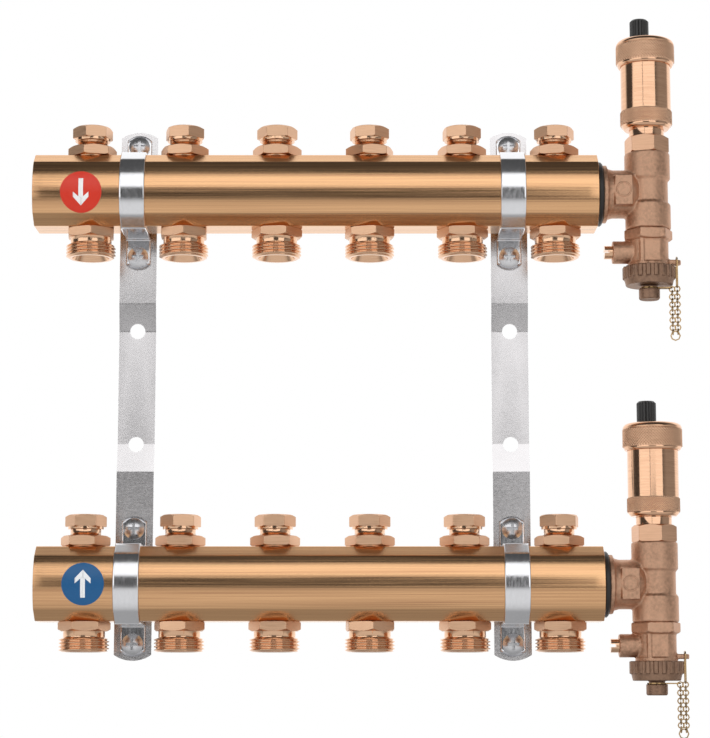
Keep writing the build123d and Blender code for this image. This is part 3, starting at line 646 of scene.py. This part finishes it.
def crisp_shading() -> bpy.types.NodeTree:
    """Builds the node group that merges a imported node's loose triangles and shades its curves smooth.

    Returns:
        The geometry node group, or the one already built.
    """
    made = bpy.data.node_groups.get("crisp_shading")
    if made:
        return made
    made = bpy.data.node_groups.new("crisp_shading", "GeometryNodeTree")
    made.interface.new_socket("Geometry", in_out="INPUT", socket_type="NodeSocketGeometry")
    made.interface.new_socket("Geometry", in_out="OUTPUT", socket_type="NodeSocketGeometry")
    nodes = Nodes(made)
    source = nodes.add("NodeGroupInput").outputs[0]
    merged = nodes.add("GeometryNodeMergeByDistance", Geometry=source, Distance=MERGE_DISTANCE).outputs[0]
    angle = nodes.add("GeometryNodeInputMeshEdgeAngle").outputs[0]
    gentle = nodes.add("FunctionNodeCompare", {"operation": "LESS_THAN"})
    nodes.join(angle, gentle.inputs[0])
    nodes.join(SMOOTH_BELOW, gentle.inputs[1])
    faces = nodes.add("GeometryNodeSetShadeSmooth", {"domain": "FACE"}, Geometry=merged, Shade_Smooth=True)
    edges = nodes.add("GeometryNodeSetShadeSmooth", {"domain": "EDGE"}, Geometry=faces.outputs[0],
                      Shade_Smooth=gentle.outputs[0])
    out = nodes.add("NodeGroupOutput")
    nodes.join(edges.outputs[0], out.inputs[0])
    return made


def dress(node: str, finish: Finish, cast: float = 0.0) -> None:
    """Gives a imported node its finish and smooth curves, or the soft edges of a casting.

    Args:
        node: The node's name.
        finish: Its finish.
        cast: Cell size in millimetres of a casting's soft skin, 0 where the edges stay crisp.
    """
    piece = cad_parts[node]
    piece.data.materials.clear()
    piece.data.materials.append(finish.material())
    smooth = piece.modifiers.new("crisp shading", "NODES")
    smooth.node_group = crisp_shading()
    if cast:
        skin = piece.modifiers.new("cast skin", "REMESH")
        skin.mode, skin.voxel_size, skin.use_smooth_shade = "VOXEL", cast * MM, True
        soft = piece.modifiers.new("soft edges", "SMOOTH")
        soft.factor, soft.iterations = 0.5, 3
    LOG.info("%s: packed node, %s", node, finish.name)


@dataclass(frozen=True)
class Bar:
    """An extruded bar along X with bored and threaded ends."""

    left: float = -150.0
    right: float = 150.0
    half_height: float = 19.5
    flat_half_depth: float = 10.0
    facet_half_depth: float = 17.0
    facet_drop: float = 5.6
    half_depth: float = 20.5
    bore: float = 28.0
    thread_bore: float = 30.3
    thread_length: float = 15.0
    thread_lead: float = 0.8
    edge: float = 0.25

    def angles(self) -> np.ndarray:
        """Angles about the bar's axis, closer together at the section's eight edges."""
        upper = [math.atan2(self.half_height, self.flat_half_depth),
                 math.atan2(self.half_height - self.facet_drop, self.facet_half_depth)]
        edges = np.array([a for u in upper for a in (u, math.pi - u, math.pi + u, math.tau - u)])
        return crowded_angles(120, 0.0, edges, np.radians([-2.2, -1.2, -0.4, 0.4, 1.2, 2.2]))

    def bow(self) -> tuple[float, float]:
        """Returns the radius of the bowed sides and how far their centre lies from the axis."""
        low_edge = self.half_height - self.facet_drop
        bow = self.half_depth - self.facet_half_depth
        radius = (low_edge**2 + bow**2) / (2 * bow)
        return radius, self.half_depth - radius

    def radius(self, angles: np.ndarray, grow: float = 0.0) -> np.ndarray:
        """Distance of the section from its axis: a soft least of its flats, facets and bowed sides.

        The soft least of a, b and c is -k log(e^(-a/k) + e^(-b/k) + e^(-c/k)), which rounds the edges.

        Args:
            angles: Angles in radians, 0 towards the back and a quarter turn up.
            grow: Distance outside the bar.

        Returns:
            One radius for each angle.
        """
        depth, height = np.abs(np.cos(angles)), np.abs(np.sin(angles))
        run = self.facet_half_depth - self.flat_half_depth
        length = math.hypot(run, self.facet_drop)
        normal = (self.facet_drop / length, run / length)
        reach = normal[0] * self.flat_half_depth + normal[1] * self.half_height
        bow_radius, centre = self.bow()
        flat = (self.half_height + grow) / np.maximum(height, 1e-6)
        facet = (reach + grow) / np.maximum(normal[0] * depth + normal[1] * height, 1e-6)
        side = depth * centre + np.sqrt((bow_radius + grow) ** 2 - (height * centre) ** 2)
        k = self.edge / 2 + grow * 0.12
        least = np.minimum(np.minimum(flat, facet), side)
        return least - k * np.log(sum(np.exp(-(part - least) / k) for part in (flat, facet, side)))

    def surface(self) -> Surface:
        """Builds the bar about its own axis: the section out to both ends, then back through the bore.

        Returns:
            The surface along X.
        """
        angles = self.angles()
        outer = self.radius(angles)
        left, right, edge = self.left, self.right, self.edge
        along = np.concatenate([[left, left + edge], np.linspace(left + 6, right - 6, 25), [right - edge, right]])
        radii = np.stack([outer - edge] + [outer] * (len(along) - 2) + [outer - edge])
        thread, bore, lead = self.thread_bore / 2, self.bore / 2, self.thread_lead
        root = (left + self.thread_length, right - self.thread_length)
        inside = np.array([
            (thread + lead, right), (thread, right - lead), (thread, root[1]), (bore, root[1] - 1),
            (bore, root[0] + 1), (thread, root[0]), (thread, left + lead), (thread + lead, left),
        ])
        surface = stacked([(radii, np.broadcast_to(along[:, None], radii.shape)),
                           (inside[:, :1], inside[:, 1:])], angles, True)
        x, y, z = surface.points.T
        return Surface(np.column_stack([z, x, y]), surface.quads, surface.triangles)


@dataclass(frozen=True)
class ValveInsert:
    """A valve insert on a bar's upper flat: seat, hexagon, neck and the stem under the cap."""

    seat: float = 21.0
    seat_height: float = 0.7
    flats: float = 23.0
    hexagon_height: float = 5.2
    neck: float = 16.2
    neck_height: float = 3.4
    stem: float = 13.6
    stem_height: float = 4.2
    bore: float = 9.3

    def surface(self, turn: float) -> Surface:
        """Builds the insert about a station's axis, with heights from the bar's axis.

        Args:
            turn: Turn of the hexagon in degrees.

        Returns:
            The surface.
        """
        low = BAR_HALF_HEIGHT
        hexagon = Hexagon(self.flats, low + self.seat_height, low + self.seat_height + self.hexagon_height, turn)
        angles = hexagon.angles()
        neck_high = hexagon.high + self.neck_height
        top = neck_high + self.stem_height
        below = round_rows([(self.bore / 2, low), (self.seat / 2, low), (self.seat / 2, hexagon.low)])
        above = round_rows([(self.neck / 2, hexagon.high), (self.neck / 2, neck_high), (self.stem / 2, neck_high),
                            (self.stem / 2, top), (self.bore / 2, top)])
        return stacked([below, hexagon.rows(angles), above], angles, True, (1,))


@dataclass(frozen=True)
class ValveCap:
    """A hexagonal cap over a valve insert: round skirt, hexagon and flat top, hollow below."""

    flats: float = 19.0
    hexagon_height: float = 6.2
    skirt: float = 18.8
    skirt_height: float = 1.4
    hollow: float = 13.7
    roof: float = 1.6
    low: float = 28.9

    def surface(self, turn: float) -> Surface:
        """Builds the cap about a station's axis, with heights from the bar's axis.

        Args:
            turn: Turn of the hexagon in degrees.

        Returns:
            The surface.
        """
        hexagon = Hexagon(self.flats, self.low + self.skirt_height, self.low + self.skirt_height + self.hexagon_height,
                          turn, bottom=0.25)
        angles = hexagon.angles()
        ceiling = hexagon.high - self.roof
        below = round_rows([(0.5, ceiling), (self.hollow / 2, ceiling), (self.hollow / 2, self.low),
                            (self.skirt / 2, self.low), (self.skirt / 2, hexagon.low)])
        above = round_rows([(self.flats / 2 - 1.2, hexagon.high), (0.5, hexagon.high)])
        return stacked([below, hexagon.rows(angles), above], angles, False, (1, 2))


@dataclass(frozen=True)
class Nipple:
    """An outlet nipple under a bar: hexagon, neck, pipe thread and coned mouth."""

    flats: float = 24.0
    hexagon_height: float = 5.0
    neck: float = 22.0
    neck_height: float = 3.2
    crest: float = 26.44
    thread_height: float = 7.6
    pitch: float = 1.814
    depth: float = 1.1
    face: float = 23.2
    bore: float = 12.0
    mouth: float = 20.0
    cone_end: float = 15.2
    cone_depth: float = 5.0
    socket_depth: float = 9.0

    def surface(self, turn: float) -> Surface:
        """Builds the nipple about a station's axis, with heights from the bar's axis.

        Args:
            turn: Turn of the hexagon in degrees.

        Returns:
            The surface.
        """
        seat = -BAR_HALF_HEIGHT
        hexagon = Hexagon(self.flats, seat - self.hexagon_height, seat, turn, top=0.5, bottom=1.0)
        angles = hexagon.angles()
        neck_low = hexagon.low - self.neck_height
        low = neck_low - self.thread_height
        thread = Thread(self.crest / 2, self.depth, self.pitch, low, neck_low, self.face / 2, self.neck / 2)
        inside = round_rows([
            (self.bore / 2, seat), (self.bore / 2, low + self.socket_depth),
            (self.cone_end / 2, low + self.socket_depth), (self.cone_end / 2, low + self.cone_depth),
            (self.mouth / 2, low), (self.face / 2 - 0.3, low),
        ])
        neck = round_rows([(self.neck / 2, neck_low + 0.1), (self.neck / 2, hexagon.low)])
        return stacked([inside, thread.rows(angles), neck, hexagon.rows(angles)], angles, True, (3,))


@dataclass(frozen=True)
class Clamp:
    """A steel strap bent round the front of a bar, with a flange above and one below."""

    width: float = 13.3
    thick: float = 1.5
    fit: float = 0.05
    seat: float = 20.55
    flange_end: float = 37.4
    end_radius: float = 9.0
    bend: float = 1.5
    edge: float = 0.2

    def path(self) -> tuple[np.ndarray, np.ndarray]:
        """Middle line of the strap in (depth, height), from the upper flange's end to the lower one's.

        Returns:
            The points, and each one's share of the flange's bowed end: 1 at the end, 0 from the bend on.
        """
        lift = self.fit + self.thick / 2
        back, leg = self.seat - self.thick / 2, BAR_HALF_HEIGHT + lift
        flange = np.column_stack([np.full(8, back), np.linspace(self.flange_end, leg + self.bend, 8)])
        turn = np.linspace(0, math.pi / 2, 7)[1:]
        corner = np.column_stack([back - self.bend * (1 - np.cos(turn)), leg + self.bend * (1 - np.sin(turn))])
        angles = np.linspace(math.pi / 2, math.pi, 60)
        front = Bar().radius(angles, lift)[:, None] * np.column_stack([np.cos(angles), np.sin(angles)])
        upper = np.concatenate([flange, corner, front])
        lower = upper[-2::-1] * [1, -1]
        share = np.zeros(len(upper))
        share[:8] = np.linspace(1, 0, 8)
        return np.concatenate([upper, lower]), np.concatenate([share, -share[-2::-1]])

    def surface(self) -> Surface:
        """Carries the strap's rounded section along the middle line, with bowed flange ends.

        A point is path + n * normal + x along X; its height is drawn in at the ends by R - sqrt(R^2 - x^2).

        Returns:
            The surface about the bar's axis.
        """
        path, share = self.path()
        step = np.gradient(path, axis=0)
        step /= np.hypot(*step.T)[:, None]
        normal = np.column_stack([-step[:, 1], step[:, 0]])
        half, thick = self.width / 2, self.thick / 2
        across = np.array([-half, -half, 0.4 - half, *np.linspace(-half + 1, half - 1, 7), half - 0.4, half, half])
        over = np.array([0.0, thick - self.edge, *np.full(9, thick), thick - self.edge, 0.0])
        across = np.concatenate([across, across[-2:0:-1]])
        over = np.concatenate([over, -over[-2:0:-1]])
        x = np.broadcast_to(across, (len(path), len(across)))
        y = path[:, :1] + over * normal[:, :1]
        bow = self.end_radius - np.sqrt(self.end_radius**2 - x**2)
        z = path[:, 1:] + over * normal[:, 1:] - bow * share[:, None]
        points = np.stack([x, y, z], axis=-1).reshape(-1, 3)
        count, opposite, last = len(across), len(across) // 2, len(points) - len(across)
        k = np.arange(1, opposite - 1)
        end = np.column_stack([k, k + 1, count - k - 1, count - k])
        tips = np.array([[0, 1, count - 1], [opposite, opposite + 1, opposite - 1]])
        quads = [grid_faces(len(path), count, False, True), end, end[:, ::-1] + last]
        return Surface(points, np.concatenate(quads), np.concatenate([tips, tips[:, ::-1] + last]))


@dataclass(frozen=True)
class AirVent:
    """An automatic air vent: body with hexagon, neck and knurled band, and a knurled lid."""

    foot: float = 22.2
    flats: float = 21.0
    hexagon_height: float = 9.0
    turn: float = 42.0
    neck: float = 19.0
    neck_height: float = 4.5
    cup: float = 27.1
    band: float = 28.0
    band_lift: float = 2.1
    band_height: float = 7.9
    cup_height: float = 27.4
    wall: float = 1.6
    passage: float = 9.0
    lid: float = 31.7
    lid_height: float = 14.4
    lid_lap: float = 2.4
    roof: float = 3.0
    crown: float = 3.2
    foot_chamfer: float = 1.3
    stub: float = 5.0
    stub_height: float = 7.0
    stub_offset: float = 2.9

    @property
    def rim(self) -> float:
        """Height of the cup's rim above the bar's axis."""
        return self.foot + self.hexagon_height + self.neck_height + self.band_lift + self.band_height + self.cup_height

    def body(self) -> Surface:
        """Builds hexagon, neck, knurled band and hollow cup as one surface of rings.

        Returns:
            The surface about the tee's axis.
        """
        hexagon = Hexagon(self.flats, self.foot, self.foot + self.hexagon_height, self.turn)
        neck_high = hexagon.high + self.neck_height
        band_low = neck_high + self.band_lift
        band_high = band_low + self.band_height
        knurl = Knurl(self.band / 2, band_low, band_high, diamonds=80)
        angles = knurl.angles()
        inner = self.cup / 2 - self.wall
        below = round_rows([(self.passage / 2, band_low), (self.passage / 2, self.foot),
                            (self.flats / 2 - 1, self.foot)])
        between = round_rows([(self.neck / 2, hexagon.high), (self.neck / 2, neck_high),
                              (self.band / 2 - self.band_lift, neck_high), (self.band / 2 - 0.3, band_low - 0.2)])
        above = round_rows([(self.cup / 2, band_high + 0.1), (self.cup / 2, self.rim), (inner, self.rim),
                            (inner, band_low)])
        return stacked([below, hexagon.rows(angles), between, knurl.rows(angles), above], angles, True, (1,))

    def cover(self) -> Surface:
        """Builds the lid: foot chamfer, knurl and rounded crown, with the outlet stub beside its middle.

        Returns:
            The surface about the tee's axis.
        """
        low = self.rim - self.lid_lap
        high = low + self.lid_height
        inner = self.cup / 2 + 0.05
        knurl_low, knurl_high = low + self.foot_chamfer + 0.3, high - self.crown + 0.4
        knurl = Knurl(self.lid / 2, knurl_low, knurl_high)
        angles = knurl.angles()
        below = round_rows([(0.5, high - self.roof), (inner - 1, high - self.roof), (inner - 1, self.rim),
                            (inner, self.rim), (inner, low), (self.lid / 2 - self.foot_chamfer, low),
                            (self.lid / 2 - 0.4, knurl_low - 0.2)])
        turn = np.linspace(0, math.pi / 2, 9)
        drop = self.crown - 0.5
        crown = (self.lid / 2 - drop + drop * np.cos(turn) - 0.1, high - drop + drop * np.sin(turn))
        above = round_rows([(self.lid / 2 - drop - 0.4, high), (0.5, high)])
        lid = stacked([below, knurl.rows(angles), (crown[0][:, None], crown[1][:, None]), above], angles, False)
        tip = high + self.stub_height
        soft = softened([(self.stub / 4, high - 0.5), (self.stub / 2, high - 0.5), (self.stub / 2, tip),
                         (self.stub / 4, tip)], 0.15, True)
        stub = ring_stack(soft[:, :1], soft[:, 1:], np.arange(40) * math.tau / 40, True)
        return joined([lid, stub.moved(-self.stub_offset, 0, 0)])


@dataclass(frozen=True)
class Arrow:
    """A flat arrow of four patches, bent onto the front of a bar, its tip down before it is flipped."""

    lift: float = 0.4
    thick: float = 0.08
    shaft_half: float = 1.25
    shaft_end: float = 7.1
    wing_half: float = 4.15
    wing_top: float = -0.2
    wing_foot: float = -2.9
    notch: float = -2.7
    tip: float = -7.4
    rows: int = 13
    columns: int = 5

    def patches(self) -> list[list[tuple[float, float]]]:
        """Corners of each patch as (x, z) about the disc's centre: two for the shaft, two for the head."""
        slope = (self.wing_top - self.notch) / (self.wing_half - self.shaft_half)
        middle = self.notch - slope * self.shaft_half
        left = [
            [(-self.shaft_half, self.shaft_end), (-self.shaft_half, self.notch), (0.0, middle), (0.0, self.shaft_end)],
            [(-self.wing_half, self.wing_top), (-self.wing_half, self.wing_foot), (0.0, self.tip), (0.0, middle)],
        ]
        return left + [[(-x, z) for x, z in patch[::-1]] for patch in left]

    def surface(self, lift: float, flip: bool) -> Surface:
        """Fills each patch with points P = (1-s)(1-t)A + s(1-t)B + st C + (1-s)t D, set on the bowed side.

        Args:
            lift: Height of the disc's centre above the bar's axis.
            flip: Whether the arrow points up.

        Returns:
            Closed thin plates about the bar's axis.
        """
        radius, centre = Bar().bow()
        count, columns = self.rows * self.columns, self.columns
        grids = np.meshgrid(np.linspace(0, 1, self.rows), np.linspace(0, 1, columns), indexing="ij")
        face = grid_faces(self.rows, columns, False, False)
        rim = np.concatenate([np.arange(0, count, columns), np.arange(count - columns + 1, count),
                              np.arange(count - columns - 1, -1, -columns), np.arange(columns - 2, 0, -1)])
        after = np.roll(rim, -1)
        quads = np.concatenate([face + count, face[:, ::-1], np.column_stack([rim, after, after + count, rim + count])])
        s, t = (grid.ravel()[:, None] for grid in grids)
        plates = []
        for patch in self.patches():
            a, b, c, d = np.array(patch)
            x, z = ((1 - s) * (1 - t) * a + s * (1 - t) * b + s * t * c + (1 - s) * t * d).T
            z = lift + (-z if flip else z)
            x = -x if flip else x
            skins = [np.column_stack([x, -centre - np.sqrt((radius + self.lift + over) ** 2 - z**2), z])
                     for over in (0.0, self.thick)]
            plates.append(Surface(np.concatenate(skins), quads, np.zeros((0, 3), int)))
        return joined(plates)


@dataclass(frozen=True)
class PadMark:
    """The raised round mark on the pad of a tee's branch."""

    from_axis: float = 14.3
    face: float = 13.6
    radius: float = 3.8
    half_width: float = 0.45
    rise: float = 0.3
    around: int = 72
    across: int = 12

    def surface(self) -> Surface:
        """Sweeps a low half round about Y: P = ((R + w cos v) cos u, -h sin v, (R + w cos v) sin u).

        Returns:
            The closed ring about the bar's axis, half sunk in the pad.
        """
        u, v = np.meshgrid(*(np.arange(n) * math.tau / n for n in (self.around, self.across)), indexing="ij")
        reach = self.radius + self.half_width * np.cos(v)
        points = np.stack([reach * np.cos(u), -self.rise * np.sin(v), reach * np.sin(u)], axis=-1)
        quads = grid_faces(self.around, self.across, True, True)
        return Surface(points.reshape(-1, 3), quads, np.zeros((0, 3), int)).moved(-self.from_axis, -self.face, 0)


@dataclass(frozen=True)
class Studio:
    """Camera, floor, soft boxes and world.

    Each ramp says where a gloss level starts and ends, and what it is there. A soft box is given as its left,
    right, lower and upper edge in metres.
    """

    eye: tuple[float, float, float] = (19.48, -1201.86, -167.42)
    pitch: float = 8.43
    focal_pixels: float = 2226.6
    middle_pixel: float = 359.35
    image: tuple[int, int] = (710, 738)
    floor_height: float = -322.8
    floor_half: float = 12.0
    # Gloss levels painted on the floor: a painted reflection of the room ahead, a painted shadow right under the
    # manifold, and white behind
    floor_ahead: Ramp = ((-2.3, -0.9), (0.10, 0.8))
    floor_painted_shadow: Ramp = ((0.05, 0.35), (0.5, 1.0))
    floor_behind: Ramp = ((0.2, 0.8), (0.0, 0.4))
    room_right: Ramp = ((0.45, 0.85), (0.08, 0.36))
    room_behind: Ramp = ((0.15, 0.45), (0.0, 1.25))
    room_light: float = 0.55
    box_y: float = -2.0
    box_level: float = 1.3
    boxes: tuple[tuple[str, float, float, float, float], ...] = (
        ("soft_box_left", -5.6, -0.57, -0.28, 1.68),
        ("soft_box_middle", -0.49, 0.36, 0.45, 1.68),
        ("soft_box_right", 0.36, 1.64, -0.28, 1.68),
    )

    def camera(self) -> None:
        """Creates the scene's camera at the photograph's viewing angle, shifted sideways as its framing needs."""
        data = bpy.data.cameras.new("camera")
        data.sensor_width = 36.0
        data.lens = self.focal_pixels / max(self.image) * data.sensor_width
        data.shift_x = (self.image[0] / 2 - self.middle_pixel) / max(self.image)
        data.clip_end = 50.0
        eye = bpy.data.objects.new("camera", data)
        bpy.context.scene.collection.objects.link(eye)
        turn = Matrix.Rotation(math.radians(90 + self.pitch), 4, "X")
        eye.matrix_world = Matrix.Translation([v * MM for v in self.eye]) @ turn
        bpy.context.scene.camera = eye

    def floor(self) -> None:
        """Lays the pale floor.

        In gloss it glows as a painted reflection: white behind the manifold, a painted shadow right under it, light in
        front and dark from 2.3 m on.
        """
        mesh = bpy.data.meshes.new("floor")
        size, height = self.floor_half, self.floor_height * MM
        mesh.from_pydata([(-size, -size, height), (size, -size, height), (size, size, height), (-size, size, height)],
                         [], [(0, 1, 2, 3)])
        floor = bpy.data.objects.new("floor", mesh)
        bpy.context.scene.collection.objects.link(floor)
        material = bpy.data.materials.new("pale_floor")
        material.use_nodes = True
        nodes = Nodes(material.node_tree)
        path = nodes.add("ShaderNodeLightPath")
        place = nodes.add("ShaderNodeTexCoord").outputs["Object"]
        ahead = nodes.add("ShaderNodeSeparateXYZ", Vector=place).outputs["Y"]
        # Painted shadow right under the manifold and painted reflection of the room, shown only to gloss rays
        front = nodes.span(ahead, *self.floor_ahead, True)
        near = nodes.span(nodes.sum("ABSOLUTE", ahead, 0.0), *self.floor_painted_shadow, True)
        level = nodes.sum("ADD", nodes.sum("MULTIPLY", front, near), nodes.span(ahead, *self.floor_behind))
        plain = nodes.sum("SUBTRACT", 1.0, path.outputs["Is Glossy Ray"])
        seen = nodes.sum("MAXIMUM", path.outputs["Is Camera Ray"], plain)
        strength = nodes.mix(seen, level, 1.0, Mix.FLOAT)
        diffuse = nodes.add("ShaderNodeBsdfDiffuse", Color=(0.85, 0.85, 0.85, 1))
        white = nodes.add("ShaderNodeEmission", Color=(1, 1, 1, 1), Strength=strength)
        share = nodes.sum("MAXIMUM", path.outputs["Is Camera Ray"], path.outputs["Is Glossy Ray"])
        mixed = nodes.add("ShaderNodeMixShader", Fac=share)
        nodes.join(diffuse.outputs[0], mixed.inputs[1])
        nodes.join(white.outputs[0], mixed.inputs[2])
        out = nodes.add("ShaderNodeOutputMaterial")
        nodes.join(mixed.outputs[0], out.inputs["Surface"])
        mesh.materials.append(material)

    def soft_box(self, name: str, left: float, right: float, low: float, high: float) -> None:
        """Hangs an upright soft box in front of the manifold.

        Args:
            name: The lamp's name.
            left: Its left edge in metres.
            right: Its right edge in metres.
            low: Its lower edge in metres.
            high: Its upper edge in metres.
        """
        data = bpy.data.lights.new(name, "AREA")
        data.shape = "RECTANGLE"
        data.size, data.size_y = right - left, high - low
        data.energy = self.box_level * math.pi * data.size * data.size_y
        lamp = bpy.data.objects.new(name, data)
        centre = Matrix.Translation([(left + right) / 2, self.box_y, (low + high) / 2])
        lamp.matrix_world = centre @ Matrix.Rotation(math.radians(90), 4, "X")
        bpy.context.scene.collection.objects.link(lamp)

    def world(self) -> None:
        """Lights the room evenly, shows white behind the manifold and a dark room in its gloss.

        In gloss the front is dark and its right side dim, and the level rises by a smooth step over the
        direction's share along Y to more than white behind.
        """
        world = bpy.data.worlds.new("studio")
        world.use_nodes = True
        nodes = Nodes(world.node_tree)
        path = nodes.add("ShaderNodeLightPath")
        direction = nodes.add("ShaderNodeTexCoord").outputs["Generated"]
        shares = nodes.add("ShaderNodeSeparateXYZ", Vector=direction)
        front = nodes.span(shares.outputs["X"], *self.room_right, True)
        behind = nodes.span(shares.outputs["Y"], *self.room_behind, True)
        gloss = nodes.sum("MAXIMUM", front, behind)
        seen = nodes.sum("MAXIMUM", path.outputs["Is Camera Ray"], path.outputs["Is Transmission Ray"])
        level = nodes.mix(path.outputs["Is Glossy Ray"], self.room_light, gloss, Mix.FLOAT)
        level = nodes.mix(seen, level, 1.0, Mix.FLOAT)
        back = nodes.add("ShaderNodeBackground", Color=(1, 1, 1, 1), Strength=level)
        out = nodes.add("ShaderNodeOutputWorld")
        nodes.join(back.outputs[0], out.inputs["Surface"])
        bpy.context.scene.world = world

    def build(self) -> None:
        """Puts the camera, floor, lamps and world in place."""
        bpy.context.scene.view_settings.view_transform = "Standard"
        self.camera()
        self.floor()
        for box in self.boxes:
            self.soft_box(*box)
        self.world()


def dress_packed_nodes() -> None:
    """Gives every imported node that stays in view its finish."""
    for side in BRACKETS:
        dress(f"bracket_{side}", STRIP_ZINC)
    dress("clamp_screws", SCREW_ZINC)
    for bar_set in BAR_SETS:
        name = bar_set.flow.value
        for i in range(1, len(STATIONS) + 1):
            dress(f"{name}_spindle_{i}", TURNED_BRASS)
        dress(f"{name}_flow_disc", LABEL_FILMS[bar_set.flow])
        dress(f"{name}_end_tee", CAST_BRASS, 0.5)
        dress(f"{name}_tee_seal", BLACK_RUBBER)
        dress(f"{name}_vent_dust_cap", BLACK_PLASTIC)
        dress(f"{name}_vent_float", FLOAT_PLASTIC)
        dress(f"{name}_drain_body", CAST_BRASS, 0.45)
        dress(f"{name}_drain_stem", TURNED_BRASS)
        dress(f"{name}_drain_cap", DARK_CAST_BRASS, 0.35)
        dress(f"{name}_keeper_chain", CHAIN_BRASS)


def build_bar_set(bar_set: BarSet) -> None:
    """Builds one bar with its clamps, inserts, caps, nipples and air vent.

    Args:
        bar_set: Where the bar and its label lie, and how its hexagons are turned.
    """
    show = bar_set.show
    show(Bar(bar_set.left, BAR_RIGHT).surface(), 0, "bar_skin", BAR_BRASS, "bar")
    arrow = Arrow().surface(bar_set.disc_lift, bar_set.flow is Flow.RETURN)
    show(arrow, bar_set.disc_x, "arrow", LABEL_PRINTS[bar_set.flow])
    for side, x in BRACKETS.items():
        show(Clamp().surface(), x, f"clamp_{side}_strap", ZINC, f"clamp_{side}")
    inserts = [ValveInsert().surface(turn).moved(x, 0, 0) for x, turn in zip(STATIONS, bar_set.insert_turns)]
    show(joined(inserts), 0, "valve_seats", TURNED_BRASS, "valve_inserts")
    nipples = [Nipple().surface(turn).moved(x, 0, 0) for x, turn in zip(STATIONS, bar_set.nipple_turns)]
    show(joined(nipples), 0, "threaded_outlets", TURNED_BRASS, "outlet_nipples")
    for i, (x, turn) in enumerate(zip(STATIONS, bar_set.cap_turns), start=1):
        node = f"{bar_set.flow.value}_valve_cap_{i}"
        cap = ValveCap().surface(turn).moved(x, AXIS_Y, bar_set.height)
        place(cap, f"{node}_shell", node, TURNED_BRASS, (node,))
    show(PadMark().surface(), TEE_X, "pad_mark", CAST_BRASS)
    show(AirVent().body(), TEE_X, "vent_cup", VENT_BRASS, "vent_body")
    show(AirVent().cover(), TEE_X, "vent_cover", VENT_BRASS, "vent_lid")


def main() -> None:
    """Builds the studio and the manifold's pieces."""
    logging.basicConfig(level=logging.INFO, format="%(message)s")
    Studio().build()
    dress_packed_nodes()
    for bar_set in BAR_SETS:
        build_bar_set(bar_set)
    LOG.info("sizes written")


if __name__ == "__main__":
    main()
